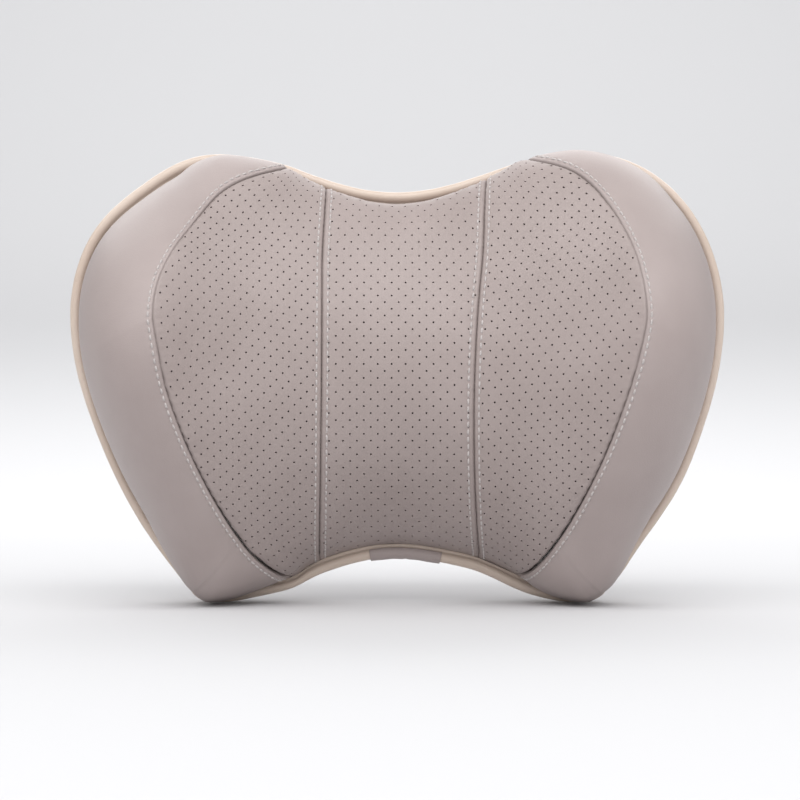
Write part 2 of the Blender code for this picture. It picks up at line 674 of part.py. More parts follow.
# ---------------------------------------------------------------- zip
def zip_fastener():
    """Tapes, coils, stops, slider and puller; the slider stands at the closed end."""
    leather_face = -BACK_DEPTH
    tape_face = leather_face + BACK_LEATHER + FIT
    tape_back = tape_face + TAPE_THICK
    half = ZIP_CHAIN / 2
    for name, sign in (("upper", 1), ("lower", -1)):
        z = [ZIP_Z + sign * s for s in (CHAIN_SPLIT / 2, CHAIN_SPLIT / 2 + TAPE_WIDTH)]
        reach = half + TAPE_END
        box("zip_tape_" + name, (-reach, z[0], tape_face), (reach, z[1], tape_back), TAPE)
        z = [ZIP_Z + sign * s for s in (CHAIN_SPLIT / 2, CHAIN_SPLIT / 2 + COIL_WIDTH)]
        low, high = tape_face - FIT - COIL_HEIGHT, tape_face - FIT
        box("zip_coil_" + name, (-half, z[0], low), (half, z[1], high), COIL, bevel=0.35)
    for name, sign in (("left", -1), ("right", 1)):
        x = [sign * (half + FIT), sign * (half + FIT + 2.2)]
        wide = CHAIN_SPLIT / 2 + COIL_WIDTH
        low, high = tape_face - FIT - COIL_HEIGHT, tape_face - FIT
        box("zip_stop_" + name, (x[0], ZIP_Z - wide, low), (x[1], ZIP_Z + wide, high), METAL, bevel=0.3)

    slider = bpy.data.objects.new("slider_place", None)
    bpy.context.scene.collection.objects.link(slider)
    slider.parent = pillow
    x = half - SLIDER_LENGTH / 2 - 0.5
    slider.location = space((x, ZIP_Z, 0.0))
    coil_face = tape_face - FIT - COIL_HEIGHT
    outer = coil_face - FIT
    inner = tape_back + FIT
    long, wide = SLIDER_LENGTH / 2, SLIDER_WIDTH / 2
    thin = CHAIN_SPLIT / 2 - FIT
    top = outer - SLIDER_PLATE
    bar = BAIL_BAR
    pieces = [
        box("plate", (-long, -wide, outer), (long, wide, top), METAL, slider, bevel=0.4),
        box("under", (-long, -wide, inner), (long, wide, inner + SLIDER_PLATE), METAL, slider, bevel=0.3),
        box("post", (-long * 0.6, -thin, top + 0.3), (long * 0.6, thin, inner + 0.4), METAL, slider),
        box("foot", (-long * 0.62, -BAIL_WIDTH / 2, top + 0.3),
            (-long * 0.62 + bar, BAIL_WIDTH / 2, top - BAIL_HEIGHT), METAL, slider),
        box("toe", (long * 0.62 - bar, -BAIL_WIDTH / 2, top + 0.3),
            (long * 0.62, BAIL_WIDTH / 2, top - BAIL_HEIGHT), METAL, slider),
        box("bridge", (-long * 0.62, -BAIL_WIDTH / 2, top - BAIL_HEIGHT + bar),
            (long * 0.62, BAIL_WIDTH / 2, top - BAIL_HEIGHT), METAL, slider),
    ]
    joined("zip_slider", pieces, METAL, slider)

    pivot = (top - (BAIL_HEIGHT - bar) / 2)
    hinge = bpy.data.objects.new("puller_hinge", None)
    bpy.context.scene.collection.objects.link(hinge)
    hinge.parent = slider
    hinge.location = space((0.0, 0.0, pivot))
    arm = (PULL_WIDTH - BAIL_WIDTH) / 2 - FIT
    window = long + 1.2
    half_pull, thick = PULL_WIDTH / 2, PULL_THICK / 2
    crossbar = (BAIL_HEIGHT - bar) / 2 - FIT
    pieces = [
        box("tab", (-PULL_LENGTH, -half_pull, -thick), (-window, half_pull, thick), METAL, hinge, bevel=0.4),
        box("arm_a", (-window - 1, half_pull - arm, -thick * 0.8), (crossbar, half_pull, thick * 0.8),
            METAL, hinge),
        box("arm_b", (-window - 1, -half_pull, -thick * 0.8), (crossbar, -half_pull + arm, thick * 0.8),
            METAL, hinge),
        box("bar", (-crossbar, -half_pull + 0.3, -crossbar * 0.9), (crossbar * 0.9, half_pull - 0.3,
            crossbar * 0.9), METAL, hinge),
    ]
    joined("zip_puller", pieces, METAL, hinge)


# ---------------------------------------------------------------- foam and liner
def cover_tree(names):
    """Search tree of the pieces the stuffing must stay clear of, in (x, z, h)."""
    graph = bpy.context.evaluated_depsgraph_get()
    points, faces, count = [], [], 0
    for name in names:
        mesh = bpy.data.objects[name].evaluated_get(graph).to_mesh()
        points += [(v.co.x / MM, v.co.z / MM, -v.co.y / MM) for v in mesh.vertices]
        faces += [[count + i for i in face.vertices] for face in mesh.polygons]
        count = len(points)
    return BVHTree.FromPolygons(points, faces)


def stuffing_rings(tree, shares, clearance, around):
    """Rings from a slit in the middle out to the clearance short of the cover, as (ring, around, xz)."""
    half = at_length(RIM, np.linspace(0, lengths(RIM)[-1], around // 2 + 1))
    rim = np.concatenate([half, (half * (-1, 1))[-2:0:-1]])
    spine = np.stack([rim[:, 0] * SLIT_SHARE, np.full(len(rim), HEIGHT * 0.48)], -1)
    reach = np.linalg.norm(rim - spine, axis=1)[:, None]
    heading = (rim - spine) / reach
    for k, (start, ahead) in enumerate(zip(spine, heading)):
        gone = 5.0
        for _ in range(80):
            x, z = start + gone * ahead
            step = tree.find_nearest((x, z, 0.0))[3] - clearance
            if step < 0.02:
                break
            gone += step
        reach[k] = gone
    return spine + np.asarray(shares)[:, None, None] * heading * reach


def marched(tree, rings, direction, clearance):
    """Carries each point away from the piping plane until it is the clearance short of the cover."""
    height = np.empty(rings.shape[:2])
    for place in np.ndindex(height.shape):
        x, z = rings[place]
        h = 0.3
        for _ in range(60):
            step = tree.find_nearest((x, z, h * direction))[3] - clearance
            if step < 0.02:
                break
            h += step
        height[place] = h * direction
    return np.concatenate([rings, height[..., None]], -1)


def ring_faces(start, rings, around, turned):
    faces = []
    for ring in range(rings - 1):
        for k in range(around):
            a, b = start + ring * around + k, start + ring * around + (k + 1) % around
            quad = [a, b, b + around, a + around]
            faces.append(quad[::-1] if turned else quad)
    return faces


def stuffing():
    """Foam core, and the knitted liner round it with a slit at the back for the foam to go in by."""
    panels = ["wing_left", "front_left", "front_centre", "front_right", "wing_right"]
    panels = [name + "_panel" for name in panels + ["back_upper", "back_lower"]]
    tree = cover_tree([*panels, "piping_cover", "zip_tape_upper", "zip_tape_lower"])
    shares = (0.05, 0.3, 0.55, 0.75, 0.88, 0.96, 1.0)
    around = 52
    shells = []
    for depth in (LINER_ROOM, LINER_ROOM + LINER, LINER_ROOM + LINER + FOAM_ROOM):
        rings = stuffing_rings(tree, shares, depth, around)
        front = marched(tree, rings, 1, depth)
        back = marched(tree, rings, -1, depth + SLIDER_PLATE + FIT)
        shells.append(np.concatenate([front.reshape(-1, 3), back.reshape(-1, 3)]))
    count = len(shells[0]) // 2
    rows = len(shares)
    slit = list(range(around))
    skin = ring_faces(0, rows, around, False) + ring_faces(count, rows, around, True)
    last = count - around
    for k in range(around):
        a, b = last + k, last + (k + 1) % around
        skin.append([a, b, b + count, a + count])
    closed = skin + [slit[::-1]]
    add("foam_core", mesh_of("foam_core", space(shells[2]), closed + [[count + k for k in slit]]), FOAM)
    inner = 2 * count
    faces = closed + [[i + inner for i in face][::-1] for face in closed]
    for k in range(around):
        a, b = count + k, count + (k + 1) % around
        faces.append([a, b, b + inner, a + inner])
    points = space(np.concatenate(shells[:2]))
    add("foam_liner", mesh_of("foam_liner", points, faces), KNIT)


# ---------------------------------------------------------------- strap
def eased(start, stop, count=9):
    """S-shaped run between two (x, h) points, level at both ends."""
    s = np.linspace(0, 1, count)
    return np.stack([start[0] + (stop[0] - start[0]) * s, start[1] + (stop[1] - start[1]) * smooth_step(s)], -1)


def half_turn(centre, radius, start, count=9):
    """Half circle of (x, h) points round a bar, turning from start by half a turn."""
    turn = start + np.linspace(0, np.pi, count)
    return np.asarray(centre) + radius * np.stack([np.cos(turn), np.sin(turn)], -1)


def strap():
    """Elastic strap: sewn at the left, through the adjuster, round the ring and back to the adjuster."""
    face = -BACK_DEPTH - FIT
    flat = face - STRAP_THICK / 2
    outer = -BACK_DEPTH - STRAP_STANDOFF
    wrap = RING_BAR + FIT + STRAP_THICK / 2
    ring_h = outer + wrap
    patch_x, patch_z = ANCHOR_SIZE[0] / 2, ANCHOR_SIZE[1] / 2
    start_x = -ANCHOR_X - patch_x + ANCHOR_WALL + FIT
    leave = -ANCHOR_X + patch_x + 1.0
    path = np.concatenate([
        [[start_x, flat], [-ANCHOR_X, flat]],
        eased((leave, flat), (leave + 34.0, outer), 10),
        [[ADJUSTER_X, outer]],
        half_turn((RING_X, ring_h), wrap, -np.pi / 2)[:, :],
    ])
    strip("strap_webbing", path, STRAP_WIDTH, STRAP_THICK, STRAP_Z, ELASTIC)

    bar_half = 0.8
    loop = 1.5 * bar_half + FIT + STRAP_THICK / 2
    layer = outer + STRAP_THICK / 2 + FIT + STRAP_THICK / 2 + loop
    bar_h = layer
    back_turn = half_turn((ADJUSTER_X, bar_h), loop, np.pi / 2)
    path = np.concatenate([
        [[RING_X - FIT, ring_h + wrap]],
        eased((RING_X - 12.0, ring_h + wrap), (ADJUSTER_X + 20.0, bar_h + loop), 6),
        back_turn,
        [[ADJUSTER_X + 6.0, bar_h - loop]],
    ])
    strip("strap_return", path, STRAP_WIDTH, STRAP_THICK, STRAP_Z, ELASTIC)

    place = bpy.data.objects.new("adjuster_place", None)
    bpy.context.scene.collection.objects.link(place)
    place.parent = pillow
    place.location = space((ADJUSTER_X, STRAP_Z, 0.0))
    inner_z = STRAP_WIDTH / 2 + FIT + 0.5
    rail = 3.0
    long = ADJUSTER_LENGTH / 2
    cover_low = outer - STRAP_THICK / 2 - FIT
    cover_high = cover_low - 1.8
    pieces = []
    for sign in (1, -1):
        pieces.append(box("rail", (-long, sign * inner_z, bar_h + bar_half),
                          (long, sign * (inner_z + rail), cover_high), PLASTIC, place, bevel=0.7))
        pieces.append(box("bar", (sign * long, -inner_z - 1, cover_low),
                          (sign * (long - ADJUSTER_BAR), inner_z + 1, cover_high), PLASTIC, place, bevel=0.5))
    pieces.append(box("middle", (-bar_half, -inner_z - 1, bar_h - bar_half), (bar_half, inner_z + 1,
                      bar_h + bar_half), PLASTIC, place))
    joined("strap_adjuster", pieces, PLASTIC, place)

    tab_h = face - STRAP_THICK - FIT - RING_BAR
    tab_x = ANCHOR_X - patch_x - 9.0
    reach_z = STRAP_WIDTH / 2 + RING_BAR + 0.8
    ring_path = [
        (RING_X, STRAP_Z - reach_z, ring_h), (RING_X, STRAP_Z + reach_z, ring_h),
        (tab_x, STRAP_Z + reach_z, tab_h), (tab_x, STRAP_Z - reach_z, tab_h),
    ]
    tube("strap_ring", rounded(ring_path, 2.0), RING_BAR, 8, PLASTIC, closed=True)
    tab_end = ANCHOR_X + patch_x - ANCHOR_WALL - FIT
    lower = tab_h + wrap
    path = np.concatenate([
        [[tab_end, lower - STRAP_THICK - 0.15]],
        [[tab_x + 4.0, lower - STRAP_THICK - 0.15]],
    ])
    turn = half_turn((tab_x, tab_h), wrap, np.pi / 2)
    path = np.concatenate([
        [[tab_end, flat]], [[tab_x + 8.0, flat]],
        turn,
        [[tab_x + 3.5, tab_h - wrap], [tab_x + 8.5, flat - STRAP_THICK - FIT],
         [tab_end, flat - STRAP_THICK - FIT]],
    ])
    strip("ring_tab", path, STRAP_WIDTH, STRAP_THICK, STRAP_Z, ELASTIC)

    for name, sign, layers in (("left", -1, 1), ("right", 1, 2)):
        under = face - layers * (STRAP_THICK + FIT)
        top = under - ANCHOR_WALL
        x = sign * ANCHOR_X
        outside = box("patch", (x - patch_x, STRAP_Z - patch_z, face), (x + patch_x, STRAP_Z + patch_z, top),
                      TAUPE, bevel=0.5)
        reach_z = STRAP_WIDTH / 2 + FIT
        pocket = box("pocket", (x + sign * (patch_x - ANCHOR_WALL), STRAP_Z - reach_z, face + 2.0),
                     (x - sign * (patch_x + 2.0), STRAP_Z + reach_z, under), TAUPE)
        cut("strap_anchor_" + name, outside, [pocket], TAUPE)


def rounded(corners, radius, steps=3):
    """Closed path through the corners with each one cut by a short arc."""
    corners = np.asarray(corners, float)
    path = []
    for before, here, after in zip(np.roll(corners, 1, 0), corners, np.roll(corners, -1, 0)):
        to_before = (before - here) / np.linalg.norm(before - here)
        to_after = (after - here) / np.linalg.norm(after - here)
        for s in np.linspace(0, 1, steps):
            path.append(here + radius * (to_before * (1 - s) ** 2 + to_after * s**2))
    return path


def settle():
    """Moves the whole cushion so that it stands on z = 0 with its box centred on the origin."""
    bpy.context.view_layer.update()
    graph = bpy.context.evaluated_depsgraph_get()
    corners = []
    for piece in bpy.data.objects:
        if piece.type == "EMPTY":
            continue
        mesh = piece.evaluated_get(graph).to_mesh()
        points = np.empty(len(mesh.vertices) * 3, np.float32)
        mesh.vertices.foreach_get("co", points)
        points = points.reshape(-1, 3) @ np.array(piece.matrix_world)[:3, :3].T + piece.matrix_world.translation
        corners += [points.min(0), points.max(0)]
    low, high = np.min(corners, 0), np.max(corners, 0)
    pillow.location = (-(low[0] + high[0]) / 2, -(low[1] + high[1]) / 2, -low[2])
    bpy.context.view_layer.update()
    print("size in mm:", np.round((high - low) / MM, 2), "moved by", np.round(np.array(pillow.location) / MM, 3))
    for piece in bpy.data.objects:
        if piece.type == "EMPTY":
            print(piece.name, "at", np.round(np.array(piece.matrix_world.translation), 6))


front_panels()
back_panels()
piping()
zip_fastener()
stuffing()
strap()
settle()
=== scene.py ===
# %% [markdown]
# # A headrest neck cushion
# The cushion is a butterfly-shaped block of foam in a sewn leather cover. Three perforated panels make the
# hollow where the neck rests, two plain wings wrap the sides, and a piping runs round the whole edge.
# Everything below is worked out as numpy surfaces in millimetres, in the coordinates (x, z, h), where h is
# the height in front of the plane of the piping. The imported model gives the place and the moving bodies.

import bmesh
import bpy
import numpy as np
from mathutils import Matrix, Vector
from mathutils.geometry import delaunay_2d_cdt

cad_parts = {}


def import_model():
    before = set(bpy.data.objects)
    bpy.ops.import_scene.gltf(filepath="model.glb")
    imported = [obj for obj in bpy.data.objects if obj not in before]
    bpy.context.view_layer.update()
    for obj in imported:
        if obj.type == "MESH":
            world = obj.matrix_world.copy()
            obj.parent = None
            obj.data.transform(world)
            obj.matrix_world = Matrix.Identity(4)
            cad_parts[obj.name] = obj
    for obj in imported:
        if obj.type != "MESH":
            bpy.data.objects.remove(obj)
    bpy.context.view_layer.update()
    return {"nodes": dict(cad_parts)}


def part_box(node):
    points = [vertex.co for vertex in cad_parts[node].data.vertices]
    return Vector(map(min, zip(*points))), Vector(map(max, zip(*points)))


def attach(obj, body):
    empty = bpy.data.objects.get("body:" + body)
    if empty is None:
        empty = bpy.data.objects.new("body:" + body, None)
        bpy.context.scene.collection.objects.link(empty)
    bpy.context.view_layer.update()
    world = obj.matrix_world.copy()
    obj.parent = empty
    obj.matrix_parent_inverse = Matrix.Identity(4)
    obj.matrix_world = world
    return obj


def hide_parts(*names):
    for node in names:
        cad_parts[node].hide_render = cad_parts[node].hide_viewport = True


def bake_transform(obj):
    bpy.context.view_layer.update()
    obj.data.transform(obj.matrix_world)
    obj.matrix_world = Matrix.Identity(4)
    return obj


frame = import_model()
MM = 0.001


def node_box(name):
    """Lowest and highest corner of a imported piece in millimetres, as one array."""
    return np.array([list(corner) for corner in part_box(name)]) / MM


PIPE_Y = node_box("piping_cover")[:, 1].mean()
STRAP_Z = 118.0
LIFT = node_box("strap_webbing")[:, 2].mean() - STRAP_Z
print("piping plane at y =", round(PIPE_Y, 3), "mm, lifted by", round(LIFT, 3), "mm")

# %% [markdown]
# ## Small tools
# A surface is an array of points. Each tool turns arrays into one mesh in a single call, so there is no
# loop over vertices. `closed_sheet` takes an outer and an inner grid and joins them round the edge, which
# gives every panel a real thickness.


# %% From arrays to pieces
PULLS = (  # place (x, z), shift (x, z) and reach in millimetres
    (97, 168, 3.0, 1.6, 32), (64, 200, -6.0, -1.5, 12), (-115, 190, 2.8, -2.8, 26),
    (-60, 199, 7.0, -1.5, 14), (-145, 75, 1.6, 0.0, 35), (-106, 122, 2.2, 0.0, 22),
    (125, 50, 2.2, 0.8, 24), (98, 12, 2.0, 0.0, 14), (40, 16, 0.0, 2.0, 16), (-53, 15, 4.2, -1.4, 10),
)


def hand_sewn(points):
    """Points of the cover shifted where its two halves were sewn a little unalike: a sum of soft bumps."""
    moved = points.copy()
    near_rim = 1 - smooth_step((-points[..., 2] - 10) / 10)
    for x, z, dx, dz, reach in PULLS:
        share = np.exp(-((points[..., 0] - x) ** 2 + (points[..., 1] - z) ** 2) / reach**2) * near_rim
        moved[..., 0] += dx * share
        moved[..., 1] += dz * share
    return moved


def world(points):
    """(x, z, h) in millimetres becomes Blender's (x, y, z) in metres: y is the piping plane minus h."""
    points = hand_sewn(np.asarray(points, float))
    placed = np.stack([points[..., 0], PIPE_Y - points[..., 2], points[..., 1] + LIFT], -1)
    return placed.reshape(-1, 3) * MM


def linked(name, data):
    """New object with this data, in the scene."""
    made = bpy.data.objects.new(name, data)
    bpy.context.scene.collection.objects.link(made)
    return made


def finish_mesh(mesh, look, merge=0.0):
    """Joins points closer than merge, turns the faces outwards, shades them smooth and sets one material."""
    shape = bmesh.new()
    shape.from_mesh(mesh)
    if merge:
        bmesh.ops.remove_doubles(shape, verts=shape.verts, dist=merge)
    bmesh.ops.recalc_face_normals(shape, faces=shape.faces)
    shape.to_mesh(mesh)
    shape.free()
    mesh.shade_smooth()
    mesh.materials.clear()
    mesh.materials.append(look)


def piece(name, points, faces, look, replaces=(), slot=None, body="cushion"):
    """One object from points and faces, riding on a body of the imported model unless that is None."""
    mesh = bpy.data.meshes.new(name)
    mesh.from_pydata(world(points), [], [list(map(int, face)) for face in faces])
    mesh.validate()
    finish_mesh(mesh, look)
    made = linked(name, mesh)
    if body:
        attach(made, body)
    if replaces:
        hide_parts(*replaces)
    return made


def grid_faces(rows, columns, start=0):
    """Quads of a grid of rows x columns points, numbered row by row from start."""
    corner = start + (np.arange(rows - 1)[:, None] * columns + np.arange(columns - 1)).ravel()
    return np.stack([corner, corner + 1, corner + columns + 1, corner + columns], -1)


def border(rows, columns):
    """Indices round the edge of a grid, in order."""
    index = np.arange(rows * columns).reshape(rows, columns)
    return np.concatenate([index[0, :-1], index[:-1, -1], index[-1, :0:-1], index[:0:-1, 0]])


def closed_sheet(near, far):
    """Points and faces of the body between two grids of one shape: two faces and the wall round them."""
    rows, columns = near.shape[:2]
    count = rows * columns
    edge = border(rows, columns)
    onward = np.roll(edge, -1)
    wall = np.stack([edge, onward, onward + count, edge + count], -1)
    back = grid_faces(rows, columns, count)[:, ::-1]
    points = np.concatenate([near.reshape(-1, 3), far.reshape(-1, 3)])
    return points, np.concatenate([grid_faces(rows, columns), back, wall])


def ring_faces(here, ahead):
    """Quads between rings of point numbers; a ring runs along the last axis and closes on itself."""
    return np.stack([here, np.roll(here, -1, -1), np.roll(ahead, -1, -1), ahead], -1).reshape(-1, 4)


def swept(path, across, up, profile, closed=False):
    """Profile (across, up) carried along a path: each ring is path + a * across + b * up.

    Path, across and up hold one row per ring. An open sweep is closed by a face at each end.
    """
    rings = path[:, None] + across[:, None] * profile[None, :, :1] + up[:, None] * profile[None, :, 1:]
    rows, count = rings.shape[:2]
    index = np.arange(rows * count).reshape(rows, count)
    ahead = np.roll(index, -1, 0) if closed else index[1:]
    here = index if closed else index[:-1]
    faces = [list(face) for face in ring_faces(here, ahead)]
    if not closed:
        faces += [list(index[0]), list(index[-1])]
    return rings.reshape(-1, 3), faces


def round_profile(radius, count):
    turn = np.linspace(0, 2 * np.pi, count, endpoint=False)
    return radius * np.stack([np.cos(turn), np.sin(turn)], -1)


def smooth_step(value):
    value = np.clip(value, 0.0, 1.0)
    return value * value * (3 - 2 * value)


def unit(vectors):
    return vectors / np.linalg.norm(vectors, axis=-1)[..., None]


def nearest_to(points, targets):
    """Number of the target nearest to each point, and its distance, in parts small enough for memory."""
    found, away = [], []
    for part in np.array_split(points, max(1, len(points) // 1500)):
        gap = np.linalg.norm(part[:, None] - targets[None], axis=-1)
        found.append(gap.argmin(1))
        away.append(gap.min(1))
    return np.concatenate(found), np.concatenate(away)


def lengths(curve):
    """Distance along a curve at each of its points."""
    return np.concatenate([[0.0], np.cumsum(np.linalg.norm(np.diff(curve, axis=0), axis=1))])


def at_length(curve, distance, run=None):
    """Values of a curve at given distances along it, or along another curve whose lengths are run."""
    run = lengths(curve) if run is None else run
    return np.stack([np.interp(distance, run, curve[:, k]) for k in range(curve.shape[1])], -1)


def ripple(x, z, seed):
    """Soft irregular waves between -1 and 1: three sines of unlike directions multiplied and summed."""
    a = np.sin(0.061 * x + 0.043 * z + seed) * np.sin(0.029 * x - 0.071 * z + 1.7 * seed)
    return 0.6 * a + 0.4 * np.sin(0.113 * x + 0.019 * z + 2.3 * seed) * np.sin(0.097 * z + seed)


# %% [markdown]
# ## Materials
# The cover is a soft coated leather with a fine pebble. One node group makes the pebble and a slow change
# of tone, and each leather places it with its own scale. The threads, tapes and webbing share a second
# group that draws twisted yarn. Both read Object coordinates, so the pattern stays on the piece.


# %% Leather grain group
def new_group(name, inputs, outputs):
    group = bpy.data.node_groups.new(name, "ShaderNodeTree")
    for label, value in inputs:
        socket = group.interface.new_socket(label, in_out="INPUT", socket_type="NodeSocketFloat")
        socket.default_value = value
    for label in outputs:
        group.interface.new_socket(label, in_out="OUTPUT", socket_type="NodeSocketFloat")
    nodes = group.nodes
    return group, nodes.new("NodeGroupInput"), nodes.new("NodeGroupOutput")


def math_node(tree, operation, first, second):
    node = tree.nodes.new("ShaderNodeMath")
    node.operation = operation
    for socket, value in zip(node.inputs, (first, second)):
        if isinstance(value, (int, float)):
            socket.default_value = value
        else:
            tree.links.new(value, socket)
    return node.outputs[0]


def texture(group, kind, place, scale, factor):
    """Texture node on a place, as fine as the group's own scale times a factor."""
    node = group.nodes.new(kind)
    group.links.new(place, node.inputs["Vector"])
    group.links.new(math_node(group, "MULTIPLY", scale, factor), node.inputs["Scale"])
    return node


def grain_group():
    """Pebbles are the distance to the edges of small cells, bent by noise; tone is a slow noise."""
    group, inside, outside = new_group(
        "leather_grain", (("Scale", 900.0), ("Tone Scale", 30.0)), ("Height", "Tone")
    )
    link, nodes = group.links.new, group.nodes
    place = nodes.new("ShaderNodeTexCoord").outputs["Object"]
    bend = texture(group, "ShaderNodeTexNoise", place, inside.outputs["Scale"], 0.35)
    moved = nodes.new("ShaderNodeVectorMath")
    moved.operation = "MULTIPLY_ADD"
    link(bend.outputs["Color"], moved.inputs[0])
    moved.inputs[1].default_value = (0.0008, 0.0008, 0.0008)
    link(place, moved.inputs[2])
    cells = nodes.new("ShaderNodeTexVoronoi")
    cells.feature = "DISTANCE_TO_EDGE"
    link(moved.outputs[0], cells.inputs["Vector"])
    link(inside.outputs["Scale"], cells.inputs["Scale"])
    pebble = math_node(group, "MINIMUM", cells.outputs["Distance"], 0.22)
    fine = texture(group, "ShaderNodeTexNoise", place, inside.outputs["Scale"], 2.6)
    small = math_node(group, "MULTIPLY", fine.outputs["Fac"], 0.18)
    link(math_node(group, "ADD", pebble, small), outside.inputs["Height"])
    tone = nodes.new("ShaderNodeTexNoise")
    tone.inputs["Detail"].default_value = 4.0
    link(place, tone.inputs["Vector"])
    link(inside.outputs["Tone Scale"], tone.inputs["Scale"])
    link(tone.outputs["Fac"], outside.inputs["Tone"])
    return group


def yarn_group():
    """Yarns are two crossed waves; fuzz is a fine noise laid over them."""
    group, inside, outside = new_group("woven_yarn", (("Scale", 900.0), ("Fuzz", 0.4)), ("Height", "Tone"))
    link, nodes = group.links.new, group.nodes
    place = nodes.new("ShaderNodeTexCoord").outputs["Object"]
    waves = []
    for direction in ("X", "Z"):
        wave = texture(group, "ShaderNodeTexWave", place, inside.outputs["Scale"], 0.3)
        wave.bands_direction = direction
        wave.inputs["Distortion"].default_value = 0.6
        waves.append(wave.outputs["Fac"])
    crossed = math_node(group, "MULTIPLY", waves[0], waves[1])
    fuzz = texture(group, "ShaderNodeTexNoise", place, inside.outputs["Scale"], 2.0)
    soft = math_node(group, "MULTIPLY", fuzz.outputs["Fac"], inside.outputs["Fuzz"])
    link(math_node(group, "ADD", crossed, soft), outside.inputs["Height"])
    link(fuzz.outputs["Fac"], outside.inputs["Tone"])
    return group


GRAIN, YARN = grain_group(), yarn_group()
print("groups:", GRAIN.name, YARN.name)


# %% Materials of the cover and the fittings
# Painted shade: the dark tone times this share is the colour the stored shade darkens towards, reached at the
# bottom of a hole.
PAINTED_SHADE_SHARE = (0.12, 0.11, 0.1)  # how much of the dark tone is left at the bottom of a hole


def textured(name, group, values, light, dark, rough, bump, distance, pit=False, metallic=0.0, sheen=0.0):
    """A Principled material: the group's tone mixes two colours, varies the gloss and lifts the grain; a
    stored point attribute can darken the colour as painted shade.
    """
    made = bpy.data.materials.new(name)
    made.use_nodes = True
    tree = made.node_tree
    link = tree.links.new
    shader = tree.nodes["Principled BSDF"]
    pattern = tree.nodes.new("ShaderNodeGroup")
    pattern.node_tree = group
    for label, value in values.items():
        pattern.inputs[label].default_value = value
    spread = tree.nodes.new("ShaderNodeMapRange")
    spread.inputs["From Min"].default_value = 0.3
    spread.inputs["From Max"].default_value = 0.7
    link(pattern.outputs["Tone"], spread.inputs["Value"])
    mix = tree.nodes.new("ShaderNodeMix")
    mix.data_type = "RGBA"
    mix.inputs[6].default_value = (*dark, 1.0)
    mix.inputs[7].default_value = (*light, 1.0)
    link(spread.outputs[0], mix.inputs[0])
    colour = mix.outputs[2]
    # Painted shade: a stored point attribute darkens the colour inside the holes, in the seam folds and on
    # the wings along the rim.
    if pit:
        depth = tree.nodes.new("ShaderNodeAttribute")
        depth.attribute_name = "pit"
        hole = tree.nodes.new("ShaderNodeMix")
        hole.data_type = "RGBA"
        hole.inputs[7].default_value = (*(np.array(dark) * PAINTED_SHADE_SHARE), 1.0)
        link(depth.outputs["Fac"], hole.inputs[0])
        link(colour, hole.inputs[6])
        colour = hole.outputs[2]
    link(colour, shader.inputs["Base Color"])
    gloss = tree.nodes.new("ShaderNodeMapRange")
    gloss.inputs["To Min"].default_value = rough - 0.05
    gloss.inputs["To Max"].default_value = rough + 0.06
    link(pattern.outputs["Tone"], gloss.inputs["Value"])
    link(gloss.outputs[0], shader.inputs["Roughness"])
    raised = tree.nodes.new("ShaderNodeBump")
    raised.inputs["Strength"].default_value = bump
    raised.inputs["Distance"].default_value = distance
    link(pattern.outputs["Height"], raised.inputs["Height"])
    link(raised.outputs["Normal"], shader.inputs["Normal"])
    shader.inputs["Metallic"].default_value = metallic
    if sheen:
        shader.inputs["Sheen Weight"].default_value = sheen
    return made


def leather(name, light, dark, rough, scale=1100.0, bump=0.35, pit=False):
    values = {"Scale": scale, "Tone Scale": 26.0}
    return textured(name, GRAIN, values, light, dark, rough, bump, 0.0003, pit)


# The perforated copy is the same leather made about 8% darker than the plain one: painted shade on the
# perforated panels.
TAUPE = leather("taupe_leather_plain", (0.375, 0.315, 0.303), (0.335, 0.278, 0.266), 0.46, pit=True)
HOLED_SHADED = leather("taupe_leather_perforated", (0.345, 0.287, 0.274), (0.31, 0.255, 0.242), 0.5, pit=True)
BEIGE = leather("beige_piping_leather", (0.62, 0.515, 0.44), (0.56, 0.455, 0.38), 0.29, 1500.0, 0.15)


def fabric(name, light, dark, rough, scale, bump=0.5, fuzz=0.5, sheen=0.15):
    values = {"Scale": scale, "Fuzz": fuzz}
    return textured(name, YARN, values, light, dark, rough, bump, 0.0003, sheen=sheen)


THREAD = fabric("stitching_thread", (0.56, 0.52, 0.51), (0.42, 0.38, 0.37), 0.55, 2600.0, 0.4)
WEBBING = fabric("elastic_webbing_weave", (0.30, 0.255, 0.245), (0.2, 0.165, 0.16), 0.8, 1500.0)
TAPE = fabric("zip_tape_weave", (0.33, 0.28, 0.265), (0.24, 0.2, 0.19), 0.82, 2400.0)
LINER = fabric("liner_knit_fabric", (0.84, 0.83, 0.81), (0.72, 0.71, 0.69), 0.9, 1300.0, 0.7)
CORD = fabric("piping_cord_cotton", (0.82, 0.8, 0.75), (0.7, 0.68, 0.62), 0.9, 1800.0, 0.7)
FOAM = textured("memory_foam_cells", GRAIN, {"Scale": 1400.0, "Tone Scale": 20.0},
                (0.86, 0.8, 0.6), (0.8, 0.72, 0.5), 0.9, 0.6, 0.0005)
COIL = textured("zip_coil_nylon", GRAIN, {"Scale": 3000.0, "Tone Scale": 60.0},
                (0.27, 0.23, 0.22), (0.2, 0.17, 0.16), 0.36, 0.1, 0.0001)
STEEL = textured("zip_metal_nickel", GRAIN, {"Scale": 500.0, "Tone Scale": 260.0},
                 (0.66, 0.64, 0.62), (0.52, 0.5, 0.48), 0.3, 0.05, 0.0001, metallic=1.0)
PLASTIC = textured("strap_plastic_moulded", GRAIN, {"Scale": 1800.0, "Tone Scale": 80.0},
                   (0.075, 0.066, 0.064), (0.05, 0.044, 0.042), 0.42, 0.18, 0.0002)
print("materials:", len(bpy.data.materials))

# %% [markdown]
# ## Outline
# Half of the outline is drawn and mirrored. The bottom and top edges are half waves of a cosine, the side
# falls in towards the foot as a power curve, and a quarter ellipse goes over the lobe. The leather starts
# just inside the piping, on the same curve moved inwards.

